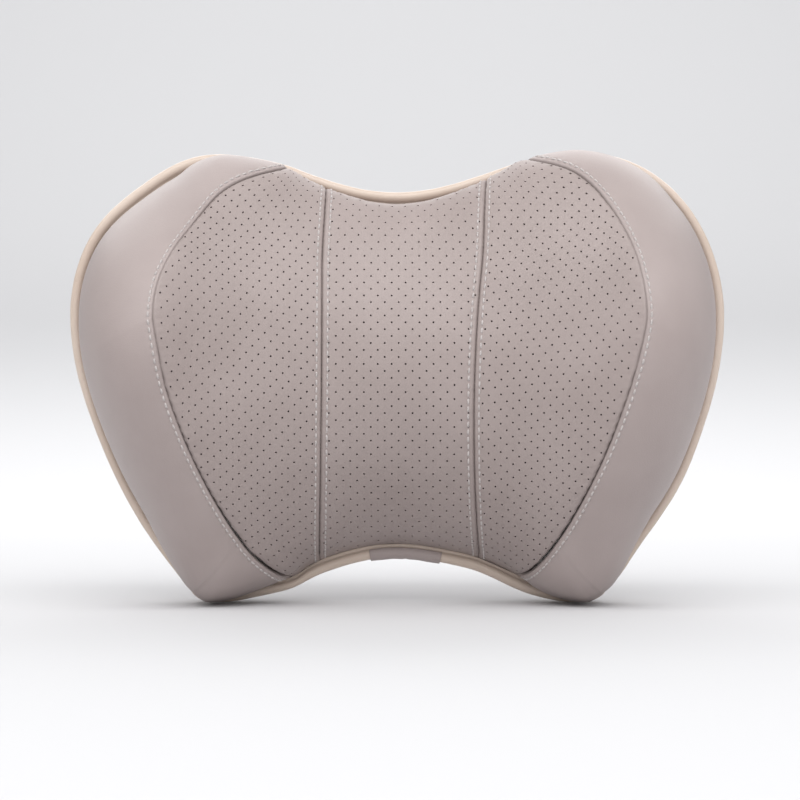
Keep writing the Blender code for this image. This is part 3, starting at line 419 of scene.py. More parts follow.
# %% Sizes in millimetres
HALF_WIDTH, HEIGHT, WIDEST_Z = 150.0, 206.0, 130.0
LOBE_INSET, TOP_DIP, ARCH_RISE = 66.0, 18.0, 20.7
FOOT_INSET, FOOT_FLAT, SIDE_POWER, CORNER_RADIUS = 60.0, 6.0, 1.9, 12.5
CROWN, WING_RISE, WING_WIDTH, WING_SEAM_Z = 50.0, 37.0, 45.0, 128.0
BACK_DEPTH, BACK_EDGE = 24.0, 20.0
LEFT_SEAM, RIGHT_SEAM = (34.8, 32.6, 33.4), (37.0, 33.8, 42.5)
SIDE_END_BOTTOM, SIDE_END_TOP = 17.0, 19.0
PIPE_RADIUS, SEAM_GAP, RIM_H = 2.4, 0.5, 0.9


# %% Outline and rim
def half_outline():
    """Right half of the outline from the bottom middle to the top middle, closely spaced."""
    foot_x = HALF_WIDTH - FOOT_INSET
    flat_x = foot_x - FOOT_FLAT
    x = np.linspace(0, flat_x, 120)
    bottom = np.stack([x, ARCH_RISE * (0.5 + 0.5 * np.cos(np.pi * x / flat_x))], -1)
    z = np.linspace(0, WIDEST_Z, 240)
    side = np.stack([HALF_WIDTH - FOOT_INSET * (1 - z / WIDEST_Z) ** SIDE_POWER, z], -1)
    lean = np.arctan2(WIDEST_Z, FOOT_INSET * SIDE_POWER)
    reach = CORNER_RADIUS * np.tan(lean / 2)
    turn = np.linspace(-np.pi / 2, -np.pi / 2 + lean, 30)
    centre = np.array([foot_x - reach, CORNER_RADIUS])
    corner = centre + CORNER_RADIUS * np.stack([np.cos(turn), np.sin(turn)], -1)
    bottom = bottom[bottom[:, 0] < corner[0, 0] - 0.3]
    side = side[side[:, 1] > corner[-1, 1] + 0.3]
    side[:, 0] += (corner[-1, 0] - side[0, 0] + 0.26) * (1 - side[:, 1] / WIDEST_Z) ** 4
    turn = np.linspace(0, np.pi / 2, 160)[1:]
    lobe_x = HALF_WIDTH - LOBE_INSET
    lobe = np.stack(
        [lobe_x + LOBE_INSET * np.cos(turn), WIDEST_Z + (HEIGHT - WIDEST_Z) * np.sin(turn)], -1
    )
    x = np.linspace(lobe_x, 0, 120)[1:]
    top = np.stack([x, HEIGHT - TOP_DIP * (0.5 + 0.5 * np.cos(np.pi * x / lobe_x))], -1)
    curve = np.concatenate([bottom, corner, side, lobe, top])
    return at_length(curve, np.linspace(0, lengths(curve)[-1], 900))


def inward(curve):
    """Unit normals of the half outline, pointing into the cushion."""
    along = np.gradient(curve, axis=0)
    along[0], along[-1] = (1, 0), (-1, 0)
    along = unit(along)
    return np.stack([-along[:, 1], along[:, 0]], -1)


OUTLINE = half_outline()
RIM = OUTLINE + inward(OUTLINE) * (2 * PIPE_RADIUS + SEAM_GAP)
RIM_RUN = lengths(RIM)
TOP_AT, WIDE_AT = int(np.argmax(OUTLINE[:, 1])), int(np.argmax(OUTLINE[:, 0]))
FOOT_AT = int(np.argmin(OUTLINE[:, 1] - OUTLINE[:, 0] * 0.4))
print("outline half length", round(lengths(OUTLINE)[-1], 1), "mm")


def rim_levels(x):
    """Heights of the bottom and the top of the rim at a distance x from the middle."""
    x = np.abs(x)
    low = np.interp(x, RIM[: WIDE_AT + 1, 0], RIM[: WIDE_AT + 1, 1])
    high = np.interp(x, RIM[WIDE_AT:, 0][::-1], RIM[WIDE_AT:, 1][::-1])
    return low, high


def rim_position(x, top):
    if top:
        return np.interp(x, RIM[TOP_AT:, 0][::-1], RIM_RUN[TOP_AT:][::-1])
    return np.interp(x, RIM[:FOOT_AT, 0], RIM_RUN[:FOOT_AT])


# %% [markdown]
# ## Where the leather swells over the piping
# Foam pushes the leather out past its seam. It hides the piping at the two feet and on the lobes, and
# half covers it along the top. The swell is a field over the front: outwards from the nearest rim point,
# as strong as a short list of values along the rim says, and fading away from the edge.

# %% Swell field
STEP = 2.0
FIELD_X = np.arange(-150, 150.1, STEP)
FIELD_Z = np.arange(0, 210.1, STEP)
FOLDED = np.stack([m.ravel() for m in np.meshgrid(np.abs(FIELD_X), FIELD_Z)], -1)
SIDE_OF = np.tile(FIELD_X, len(FIELD_Z))
NEAREST_RIM, RIM_AWAY = nearest_to(FOLDED, RIM)


def swell_along_rim(run, right):
    """How far the leather stands out past its seam, by distance along the half rim."""
    foot, wide, lobe = RIM_RUN[FOOT_AT], RIM_RUN[WIDE_AT], RIM_RUN[TOP_AT]
    last = RIM_RUN[-1]
    marks = [0, foot - 38, foot - 16, foot, foot + 14, foot + 45, wide, lobe - 45, lobe - 18, lobe + 4,
             lobe + 26, lobe + 45, last]
    if right:
        values = [0, 0.2, 3.4, 4.9, 3.6, 0.6, 0.0, 0.8, 4.2, 7.0, 7.2, 5.4, 3.4]
    else:
        values = [0, 0.2, 3.4, 4.9, 3.6, 0.6, 0.0, 0.2, 0.6, 5.6, 6.2, 5.2, 3.4]
    return np.interp(run, marks, values)


def rim_directions(sign):
    """Unit directions (x, z) on the net, outwards (1) or inwards (-1), of the rim point nearest to each."""
    field = -sign * inward(RIM)[NEAREST_RIM]
    field[:, 0] *= np.sign(SIDE_OF + 1e-9)
    return field


def swell_field():
    """Outward push (x, z) on a regular net, from the nearest point of the rim."""
    run = RIM_RUN[NEAREST_RIM]
    push = np.where(SIDE_OF > 0, swell_along_rim(run, True), swell_along_rim(run, False))
    push = push * (1 - smooth_step((RIM_AWAY - 6) / 30))
    field = (rim_directions(1) * push[:, None]).reshape(len(FIELD_Z), len(FIELD_X), 2)
    for _ in range(4):
        inside = field[1:-1, 1:-1]
        around = field[:-2, 1:-1] + field[2:, 1:-1] + field[1:-1, :-2] + field[1:-1, 2:]
        field[1:-1, 1:-1] = 0.5 * inside + 0.125 * around
    return field


def from_net(net, x, z):
    """Bilinear reading of a net of values at places (x, z)."""
    i = np.clip((x - FIELD_X[0]) / STEP, 0, len(FIELD_X) - 1.001)
    j = np.clip((z - FIELD_Z[0]) / STEP, 0, len(FIELD_Z) - 1.001)
    a, b = i.astype(int), j.astype(int)
    u, v = (i - a)[..., None], (j - b)[..., None]
    near = net[b, a] * (1 - u) + net[b, a + 1] * u
    far = net[b + 1, a] * (1 - u) + net[b + 1, a + 1] * u
    return near * (1 - v) + far * v


SWELL = swell_field()
print("largest swell", round(float(np.linalg.norm(SWELL, axis=-1).max()), 2), "mm")


TUCK = rim_directions(-1).reshape(len(FIELD_Z), len(FIELD_X), 2)


def swollen(points):
    """Points of the front moved outwards by the swell, which starts a little above the seam.

    Next to the piping the seam pulls the leather in by 0.9 mm, and by 1.3 mm just above it.
    """
    push = from_net(SWELL, points[..., 0], points[..., 1])
    high = np.clip(points[..., 2], 0, None)
    tuck = (0.9 + 0.4 * smooth_step(high / 8)) * np.exp(-((high / 22) ** 2))
    tuck = tuck * (1 - smooth_step(np.linalg.norm(push, axis=-1) / 3))
    lifted = smooth_step((points[..., 2] - 2.0) / 11.0)[..., None]
    waves = 0.35 * ripple(points[..., 0], points[..., 1], 1.3)
    moved = points.copy()
    moved[..., :2] += push * lifted
    moved[..., :2] += from_net(TUCK, points[..., 0], points[..., 1]) * tuck[..., None]
    moved[..., 2] += waves * smooth_step(points[..., 2] / 20)
    return moved


# %% [markdown]
# ## Front surface
# The perforated area is one smooth crown that rises towards the wings, where it ends in a curved seam.
# From that seam each wing comes down to the rim as a quarter superellipse.


# %% Crown, seams and wings
def saddle_height(x, z):
    """Crown (50 + 37 s^2) (1 - t^2)^p: s goes to 1 at the wing seam, t from edge to edge at that x."""
    low, high = rim_levels(x)
    across = (2 * z - low - high) / np.maximum(high - low, 1e-6)
    spread = np.abs(x) / (HALF_WIDTH - WING_WIDTH)
    power = 0.68 - 0.23 * smooth_step(spread)
    return (CROWN + WING_RISE * spread**2) * np.maximum(1 - across**2, 0) ** power


def saddle_normal(x, z):
    """Unit normal of the crown from central differences."""
    e = 0.15
    slope_x = (saddle_height(x + e, z) - saddle_height(x - e, z)) / (2 * e)
    slope_z = (saddle_height(x, z + e) - saddle_height(x, z - e)) / (2 * e)
    normal = np.stack([-slope_x, -slope_z, np.ones_like(slope_x)], -1)
    return unit(normal)


def straight_seam(widths, z_low, z_high):
    """Distance of a straight seam from the middle at three heights, as a parabola through them."""
    low, middle, high = widths

    def at(z):
        s = (z - z_low) / (z_high - z_low)
        return low * (1 - s) * (1 - 2 * s) + 4 * middle * s * (1 - s) + high * s * (2 * s - 1)

    return at


def curved_seam(end_low, end_high):
    """Seam between a side panel and its wing: two quarter superellipses that meet at the widest point."""
    turn = np.linspace(0, np.pi / 2, 300)
    wide = HALF_WIDTH - WING_WIDTH
    parts = []
    for end, power in ((end_low, 1.5), (end_high, 1.18)):
        x = end[0] + (wide - end[0]) * np.cos(turn) ** power
        z = WING_SEAM_Z + (end[1] - WING_SEAM_Z) * np.sin(turn) ** power
        parts.append(np.stack([x, z], -1))
    return np.concatenate([parts[0][::-1], parts[1][1:]])


def seams_of(widths):
    """Inner seam as x of z, curved seam as points, and their ends, on the right half."""
    x_low, _, x_high = widths
    inner = straight_seam(widths, rim_levels(x_low)[0], rim_levels(x_high)[1])
    foot = (x_low + SIDE_END_BOTTOM, rim_levels(x_low + SIDE_END_BOTTOM)[0])
    head = (x_high + SIDE_END_TOP, rim_levels(x_high + SIDE_END_TOP)[1])
    return inner, curved_seam(foot, head), foot, head


SEAMS = {-1: seams_of(LEFT_SEAM), 1: seams_of(RIGHT_SEAM)}
for side, (_, curve, _, _) in SEAMS.items():
    print("curved seam", "right" if side > 0 else "left", round(lengths(curve)[-1], 1), "mm long")


def seam_roll(distance, depth, width):
    """How far the leather dips towards a seam: a narrow fold in the middle of a wide shallow valley."""
    return -depth * np.exp(-((distance / width) ** 2)) - 0.3 * depth * np.exp(-((distance / 3.0) ** 2))


# %% Unrolled height of the front
def unrolled(low, high, crown, power):
    """Table from z to distance along the curved front, edge to edge, for a given crown."""
    turn = np.linspace(-np.pi / 2, np.pi / 2, 4001)
    z = (low + high) / 2 + (high - low) / 2 * np.sin(turn)
    h = crown * np.cos(turn) ** (2 * power)
    return z, lengths(np.stack([z, h], -1))


TABLE_Z, TABLE_S = unrolled(3.0, 201.0, 62.0, 0.6)


def unroll(z):
    return np.interp(z, TABLE_Z, TABLE_S)


def roll_back(s):
    return np.interp(s, TABLE_S, TABLE_Z)


# %% [markdown]
# ## Perforated panels
# The holes stand in staggered rows, about 3 mm from row to row, and 5 to 6 mm apart along a row. Each is a
# real pit: eight points on the surface, three rings below it and a floor, and its walls and floor are also
# darkened by painted shade. The leather between is filled by a Delaunay net over the panel laid flat, so the
# triangles stay even on the steep edges. A copy without holes closes the back.

# %% Sizes of the perforation
CENTRE_ACROSS, CENTRE_UP = 6.09, 3.08
SIDE_ACROSS, SIDE_UP = 5.27, 3.25
HOLE_RADIUS, HOLE_DEPTH, HOLE_SIDES = 0.45, 1.5, 8
COLLAR = 1.32  # radius of the ring of points round a hole, in radii of the hole
NET = 2.3
LEATHER_BODY = 2.0
# The darkness of each ring is painted shade, deepening from the mouth down to the floor.
PIT_RINGS = ((0.93, 0.14, 0.35), (0.86, 0.45, 0.8), (0.8, HOLE_DEPTH, 1.0))  # width, depth, darkness
SEAM_BANDS = (0.35, 0.75, 1.25, 1.9, 2.6)
RIM_BANDS = (0.06, 0.2, 0.45, 0.8, 1.3, 2.0)


def centre_holes():
    """Staggered lattice, level rows, over the middle panel."""
    row = np.arange(0, int(TABLE_S[-1] / CENTRE_UP))
    column = np.arange(-8, 9)
    j, i = np.meshgrid(row, column, indexing="ij")
    x = (i + 0.5 * (j % 2)) * CENTRE_ACROSS + 0.8
    return np.stack([x, roll_back(j * CENTRE_UP)], -1).reshape(-1, 2)


def side_holes(side):
    """Lattice whose rows fan out: they rise outwards over most of the height and fall at the top."""
    inner = SEAMS[side][0]
    row = np.arange(-6, int(TABLE_S[-1] / SIDE_UP))
    column = np.arange(0, 22)
    j, i = np.meshgrid(row, column, indexing="ij")
    start = roll_back(j * SIDE_UP + (1.1 if side > 0 else 2.3))
    across = (i + 0.5 * (j % 2)) * SIDE_ACROSS + 1.2
    share = (start - 20) / 170
    rises = (14, 4.8, 5.0, -5) if side > 0 else (13, 8.4, 9.0, -2)
    tilt = np.radians(np.interp(share, [0, 0.39, 0.72, 1], rises))
    x = inner(start) + across * np.cos(tilt)
    z = start + across * np.sin(tilt)
    return np.stack([side * x, z], -1).reshape(-1, 2)


# %% Panel builder
def panel_edges(left, right, spacing=0.9):
    """Points round a panel between two seams given as x of z, and its bottom and top rim."""
    def corner(edge, top):
        z = 100.0
        for _ in range(60):
            z = rim_levels(edge(z))[int(top)]
        return float(edge(z)), float(z)

    ends = {(name, top): corner(edge, top) for name, edge in (("l", left), ("r", right)) for top in (0, 1)}
    sides = []
    for name, edge in (("l", left), ("r", right)):
        s = unroll(np.array([ends[name, 0][1], ends[name, 1][1]]))
        z = roll_back(np.linspace(s[0], s[1], int((s[1] - s[0]) / spacing)))
        sides.append(np.stack([edge(z), z], -1))
    rims = []
    for top in (0, 1):
        a, b = ends["l", top][0], ends["r", top][0]
        x = np.linspace(a, b, max(4, int((b - a) / spacing)))
        rims.append(np.stack([x, rim_levels(x)[top]], -1))
    loop = np.concatenate([rims[0][:-1], sides[1][:-1], rims[1][:0:-1], sides[0][:0:-1]])
    return loop, sides, rims


def laid_flat(points):
    """Points (x, z) of the front with z as the distance along its curve."""
    return np.stack([points[:, 0], unroll(points[:, 1])], -1)


def gap_to(points, curve):
    """Distance on the unrolled front from points to a curve."""
    return nearest_to(laid_flat(points), laid_flat(curve)[::2])[1]


def seam_gap(points, seams):
    return np.minimum.reduce([gap_to(points, seam) for seam in seams])


def inside_panel(points, left, right, margin):
    x, z = points[:, 0], points[:, 1]
    low, high = rim_levels(x)
    s = unroll(z)
    beyond = np.minimum(s - unroll(low), unroll(high) - s)
    return (x > left(z) + margin) & (x < right(z) - margin) & (beyond > margin)


def triangles(points):
    """Delaunay triangles of points laid flat."""
    found = delaunay_2d_cdt([Vector(p) for p in laid_flat(points)], [], [], 0, 1e-7)
    order = np.array([group[0] for group in found[3]])
    return order[np.array(found[2])]


def lifted(points, seams, inset=0.0):
    """Panel points on the crown, rolled in at the seams and moved below the surface by inset."""
    normal = saddle_normal(points[:, 0], points[:, 1])
    height = np.maximum(saddle_height(points[:, 0], points[:, 1]), RIM_H)
    placed = np.concatenate([points, height[:, None]], -1)
    gap = seam_gap(points, seams)
    along = unroll(points[:, 1])
    pucker = 0.1 * np.cos(2 * np.pi * along / 3.4) * np.exp(-(((gap - 2.3) / 1.2) ** 2))
    pucker = pucker + 0.22 * ripple(along * 5.0, gap * 3.0, 0.7) * np.exp(-gap / 7.0)
    depth = 0.95 + 0.45 * (np.abs(points[:, 0]) > 60)
    roll = seam_roll(gap, depth, 0.5) * smooth_step(height / 14) + pucker
    return swollen(placed + normal * (roll - inset)[:, None]), normal


def store_painted_shade(made, gap, start=None, strength=0.62):
    """Painted shade stored at each point: the pits' own, and a soft dark line where the leather meets at a
    seam.
    """
    depth = np.zeros(len(made.data.vertices), np.float32) if start is None else start
    # Painted shade: a soft dark line along the seam fold.
    fold = strength * np.exp(-((gap / 0.55) ** 2))
    depth[: len(fold)] = np.maximum(depth[: len(fold)], fold)
    attribute = made.data.attributes.new("pit", "FLOAT", "POINT")
    attribute.data.foreach_set("value", depth[: len(made.data.vertices)])


def filling_points(loop, sides, rims, left, right):
    """Points between the holes: a staggered net, and bands that follow the seams and the rim closely."""
    s = np.arange(0, TABLE_S[-1], NET)
    x = np.arange(loop[:, 0].min(), loop[:, 0].max(), NET)
    a, b = np.meshgrid(x, s)
    a = a + NET / 2 * (np.arange(len(s)) % 2)[:, None]
    fill = np.stack([a, roll_back(b)], -1).reshape(-1, 2)
    fill = fill[inside_panel(fill, left, right, 2.6)]
    bands = [edge + (sign * inset, 0) for sign, edge in zip((1, -1), sides) for inset in SEAM_BANDS]
    bands += [edge + (0, sign * inset) for sign, edge in zip((1, -1), rims) for inset in RIM_BANDS]
    bands = np.concatenate(bands)
    return np.concatenate([fill, bands[inside_panel(bands, left, right, 0.12)]])


def inner_triangles(points, left, right):
    """Delaunay triangles whose middle lies on the panel."""
    faces = triangles(points)
    return faces[inside_panel(points[faces].mean(1), left, right, -0.02)]


def perforated_panel(name, left, right, holes, seams, node):
    """Leather with pits between two seams: a Delaunay net over edge, lattice rings and filling points."""
    loop, sides, rims = panel_edges(left, right)
    slope = saddle_normal(holes[:, 0], holes[:, 1])
    keep = inside_panel(holes, left, right, 1.45)
    holes, slope = holes[keep], slope[keep]
    turn = np.linspace(0, 2 * np.pi, HOLE_SIDES, endpoint=False)
    circle = np.sqrt(1 - slope[:, :2] ** 2)[:, None] * np.stack([np.cos(turn), np.sin(turn)], -1)
    ring = (holes[:, None] + HOLE_RADIUS * circle).reshape(-1, 2)
    collar = (holes[:, None] + COLLAR * HOLE_RADIUS * circle).reshape(-1, 2)
    extra = filling_points(loop, sides, rims, left, right)
    extra = extra[nearest_to(laid_flat(extra), laid_flat(holes))[1] > COLLAR * HOLE_RADIUS + 0.4]
    points = np.concatenate([loop, ring, collar, extra])
    first, size = len(loop), len(ring)
    owner = np.full(len(points), -1)
    owner[first : first + size] = np.repeat(np.arange(len(holes)), HOLE_SIDES)
    faces = inner_triangles(points, left, right)
    over_hole = (owner[faces[:, 0]] >= 0) & (owner[faces] == owner[faces[:, :1]]).all(1)
    faces = faces[~over_hole]
    top, normal = lifted(points, seams)
    mouth = top[first : first + size].reshape(-1, HOLE_SIDES, 3)
    heart = mouth.mean(1, keepdims=True)
    down = normal[first : first + size].reshape(-1, HOLE_SIDES, 3).mean(1, keepdims=True)
    layers, pits, darkness = [top], [], [np.zeros(len(top))]
    above = first + np.arange(size).reshape(-1, HOLE_SIDES)
    count = len(top)
    for width, depth, dark in PIT_RINGS:
        below = count + np.arange(size).reshape(-1, HOLE_SIDES)
        pits.append(ring_faces(above, below))
        layers.append((heart + (mouth - heart) * width - down * depth).reshape(-1, 3))
        darkness.append(np.full(size, dark))
        above, count = below, count + size
    coarse = np.concatenate([loop, extra[::2]])
    under, _ = lifted(coarse, seams, LEATHER_BODY)
    edge = np.arange(len(loop))
    onward = np.roll(edge, -1)
    wall = np.stack([edge, onward, onward + count, edge + count], -1)
    under_faces = inner_triangles(coarse, left, right) + count
    body = [list(f) for part in (faces, *pits, above, under_faces, wall) for f in part]
    made = piece(name, np.concatenate([*layers, under]), body, HOLED_SHADED, (node,), "taupe_leather")
    # Painted shade: the pit walls and floors darken downwards, and a soft dark line runs along the seams,
    # stronger towards the curved seams.
    depth = np.concatenate([*darkness, np.zeros(len(under))]).astype(np.float32)
    store_painted_shade(made, seam_gap(points, seams), depth, 0.3 + 0.32 * (np.abs(points[:, 0]) > 60))
    print(name, "-", len(holes), "holes,", len(made.data.polygons), "faces")


# %% Three perforated panels
def curve_as_x(side):
    """The curved seam read as x of z on its own side."""
    curve = SEAMS[side][1]
    return lambda z: side * np.interp(z, curve[:, 1], curve[:, 0])


def seam_points(side, which):
    if which == "inner":
        z = np.linspace(5, 203, 700)
        return np.stack([side * SEAMS[side][0](z), z], -1)
    return SEAMS[side][1] * (side, 1)


def inner_x(side, shift):
    return lambda z: side * SEAMS[side][0](z) + shift


HALF_GAP = 0.05
left_outer, right_outer = curve_as_x(-1), curve_as_x(1)
for name, left, right, holes, seams in (
    ("centre", inner_x(-1, HALF_GAP), inner_x(1, -HALF_GAP), centre_holes(),
     [seam_points(-1, "inner"), seam_points(1, "inner")]),
    ("left", lambda z: left_outer(z) + HALF_GAP, inner_x(-1, -HALF_GAP), side_holes(-1),
     [seam_points(-1, "inner"), seam_points(-1, "curved")]),
    ("right", inner_x(1, HALF_GAP), lambda z: right_outer(z) - HALF_GAP, side_holes(1),
     [seam_points(1, "inner"), seam_points(1, "curved")]),
):
    perforated_panel("perforated_" + name, left, right, holes, seams, "front_" + name + "_panel")

# %% [markdown]
# ## Wings
# A wing has no holes, so it is a plain grid: rows run from the curved seam to the rim, and columns are
# packed closely near the seam, where the leather rolls under. Each row is measured again along its own
# length so that the steps stay even on the steep side.


# %% Wing surface
def grid_normals(grid):
    """Unit normals of a grid; each end row takes those of the row beside it."""
    du, dv = np.gradient(grid, axis=1), np.gradient(grid, axis=0)
    normal = np.cross(du, dv)
    size = np.linalg.norm(normal, axis=-1)[..., None]
    normal = normal / np.maximum(size, 1e-9)
    normal[[0, -1]] = normal[[1, -2]]
    return normal


SEAM_OPEN = 0.0015  # share of a row left free at the seam


def wing_grid(side, rows=330, columns=84):
    """Quarter superellipse from the curved seam to the rim, with its distance from the seam."""
    _, curve, foot, head = SEAMS[side]
    t = np.linspace(0, 1, rows)
    ease = (1 - np.cos(np.pi * t)) / 2
    outer = at_length(curve, (0.5 * t + 0.5 * ease) * lengths(curve)[-1])
    start, stop = rim_position(foot[0] + 5.0, False), rim_position(head[0] + 3.0, True)
    run = start + (stop - start) * t**1.25
    rim = at_length(RIM, run)
    crest = saddle_height(outer[:, 0], outer[:, 1])
    w = np.linspace(0, 1, 240)[None]
    near_foot = np.exp(-(((run - RIM_RUN[FOOT_AT]) / 26.0) ** 2))[:, None]
    fullness = 2 / (2.2 + 0.8 * near_foot)
    a = np.sin(w * np.pi / 2) ** fullness
    b = np.abs(np.cos(w * np.pi / 2)) ** fullness
    plan = outer[:, None] + (rim - outer)[:, None] * a[..., None]
    dense = np.concatenate([plan, (crest[:, None] * b)[..., None]], -1)
    share = (np.arange(columns) / (columns - 1)) ** 1.6
    share = SEAM_OPEN + (1 - SEAM_OPEN) * share
    even = np.empty((rows, columns, 3))
    gap = np.empty((rows, columns))
    for row in range(rows):
        run_here = lengths(dense[row])
        gap[row] = share * run_here[-1]
        even[row] = at_length(dense[row], gap[row], run_here)
    even[..., 2] = np.maximum(even[..., 2], RIM_H)
    even[..., 0] *= side
    return even, gap, lengths(outer)


def wing_surface(side):
    grid, gap, along = wing_grid(side)
    normal = grid_normals(grid) * side
    roll = seam_roll(gap, 1.3, 0.6)
    pucker = 0.12 * np.cos(2 * np.pi * along[:, None] / 3.4) * np.exp(-(((gap - 2.6) / 1.3) ** 2))
    pucker += 0.35 * ripple(along[:, None] * 2.2, gap * 1.4, 2.1) * np.exp(-gap / 14.0)
    away = smooth_step((grid[..., 2] - RIM_H) / 4)
    top = swollen(grid + normal * (roll * away + pucker * away)[..., None])
    return top, grid_normals(top) * side, gap


WINGS = {side: wing_surface(side) for side in (-1, 1)}
for side, name in ((-1, "left"), (1, "right")):
    top, normal, gap = WINGS[side]
    under = top - normal * 1.3
    under[:, -1, 2] = top[:, -1, 2]
    node = "wing_" + name + "_panel"
    made = piece("wing_" + name, *closed_sheet(top, under), TAUPE, (node,), "taupe_leather")
    # Painted shade: a soft dark line stored along the curved seam and along the rim next to the piping.
    from_rim = (gap[:, -1:] - gap) / 2.4
    store_painted_shade(made, np.minimum(gap, from_rim).ravel())
    print(made.name, len(made.data.polygons), "faces")

# %% [markdown]
# ## Stitches
# The thread dives in and out of the leather, so each stitch is its own short pill that stands a little
# proud in the middle and sinks at both ends. One function lays a row of them along any path, from
# arrays of centres and small cross-sections: a few dozen faces each.

# %% Stitch rows
STITCH_PITCH, STITCH_LENGTH, THREAD_RADIUS = 3.4, 2.7, 0.45
STITCH_FACES = 38  # six bands of six faces and two ends
SEAM_TO_STITCH, WING_TO_STITCH = 2.35, 2.6


def stitch_row(name, path, normal, replaces=(), margin=3.0, pitch=STITCH_PITCH, size=1.0):
    """Pills along a path: height over the leather 0.52 (1 - t^4) - 0.4, and thinner at the ends."""
    run = lengths(path)
    centre = np.arange(margin, run[-1] - margin, pitch)
    t = np.array([-1.0, -0.86, -0.5, 0.0, 0.5, 0.86, 1.0])
    s = centre[:, None] + t * STITCH_LENGTH / 2
    place = np.stack([np.interp(s, run, path[:, k]) for k in range(3)], -1)
    out = unit(np.stack([np.interp(s, run, normal[:, k]) for k in range(3)], -1))
    ahead = np.stack([np.interp(s + 0.4, run, path[:, k]) for k in range(3)], -1) - place
    beside = unit(np.cross(ahead, out))
    rise = (0.52 * (1 - t**4) - 0.4)[None, :, None] * size
    radius = THREAD_RADIUS * size * np.array([0.35, 0.75, 1.0, 1.0, 1.0, 0.75, 0.35])
    turn = np.linspace(0, 2 * np.pi, 7)[:-1]
    ring = (place + out * rise)[:, :, None] + radius[None, :, None, None] * (
        np.cos(turn)[:, None] * beside[:, :, None] + np.sin(turn)[:, None] * out[:, :, None]
    )
    count, stations, sides = ring.shape[:3]
    index = np.arange(count * stations * sides).reshape(count, stations, sides)
    skin = ring_faces(index[:, :-1], index[:, 1:])
    faces = [list(f) for part in (skin, index[:, 0], index[:, -1]) for f in part]
    return piece(name, ring.reshape(-1, 3), faces, THREAD, replaces, "pale_thread")


def seam_side_path(side, offset):
    """Path on the leather beside an inner seam."""
    edge = inner_x(side, offset)
    return lifted(panel_edges(edge, edge, 0.6)[1][0], [seam_points(side, "inner")])


total = 0
for side, name in ((-1, "left"), (1, "right")):
    for offset, where in ((SEAM_TO_STITCH, "outer"), (-SEAM_TO_STITCH, "inner")):
        path, normal = seam_side_path(side, side * offset)
        node = "topstitch_inner_" + name + "_" + where
        row = stitch_row("stitches_" + name + "_" + where, path, normal, (node,))
        total += len(row.data.polygons) // STITCH_FACES
    top, normal, gap = WINGS[side]
    wide = np.array([np.searchsorted(line, WING_TO_STITCH) for line in gap]).clip(1, top.shape[1] - 1)
    pick = np.arange(len(gap))
    share = ((WING_TO_STITCH - gap[pick, wide - 1]) / (gap[pick, wide] - gap[pick, wide - 1]))[:, None]
    path = top[pick, wide - 1] * (1 - share) + top[pick, wide] * share
    keep = gap[:, -1] > 5.5
    row = stitch_row("stitches_wing_" + name, path[keep], normal[pick, wide][keep],
                     ("topstitch_wing_" + name,), margin=1.0)
    total += len(row.data.polygons) // STITCH_FACES
print(total, "stitches on the front")

# %% [markdown]
# ## Piping
# A strip of smooth leather is wrapped round a cord and caught in the seam. The visible part is nearly a
# circle, carried round the outline; the tail is the seam allowance between the front and the back.

# %% Piping, its cord and the wrap over its joint
CORD_SIDES, CORD_RADIUS, STRAND = 18, 1.0, 0.14
WRAP_START, WRAP_END = -12.0, 20.4
PIPE_LINE = OUTLINE + inward(OUTLINE) * PIPE_RADIUS


def full_loop(half):
    """Closed curve from its right half."""
    return np.concatenate([half, (half * (-1, 1))[-2:0:-1]])


def piping_profile(count=26):
    """Nearly a circle, then the flat tail of the seam allowance."""
    turn = np.linspace(np.pi - 0.3, -np.pi + 0.3, count)
    ring = PIPE_RADIUS * np.stack([np.cos(turn), np.sin(turn)], -1)
    tail = np.array([[-2.9, -0.5], [-5.4, -0.45], [-5.4, 0.45], [-2.9, 0.5]])
    return np.concatenate([ring, tail])


def level(points):
    """Points (x, z) at the height of the piping."""
    return np.concatenate([points, np.zeros((len(points), 1))], -1)


path, across = level(full_loop(PIPE_LINE)), level(unit(full_loop(-inward(OUTLINE))))
up = np.tile([0.0, 0.0, 1.0], (len(path), 1))
run = lengths(path)
wobble = 0.05 * np.sin(run / 7.3) * np.sin(run / 31.0) + 0.03 * np.sin(run / 2.1) * np.sin(run / 17.0)
points, faces = swept(path + across * wobble[:, None], across, up, piping_profile(), closed=True)
made = piece("piping", points, faces, BEIGE, ("piping_cover",), "beige_piping")
print("piping", round(run[-1], 1), "mm long,", len(made.data.polygons), "faces")

around = np.linspace(0, 2 * np.pi, CORD_SIDES, endpoint=False)[None]
turn = run[:, None] / 1.6 + around
strand = CORD_RADIUS + STRAND * np.cos(3 * (turn - run[:, None] / 1.6))
rings = path[:, None] + strand[..., None] * (
    np.cos(turn)[..., None] * across[:, None] + np.sin(turn)[..., None] * up[:, None]
)
index = np.arange(rings.shape[0] * CORD_SIDES).reshape(-1, CORD_SIDES)
faces = ring_faces(index, np.roll(index, -1, 0))
piece("piping_cord_twisted", rings.reshape(-1, 3), faces, CORD, ("piping_cord",), "piping_cord")

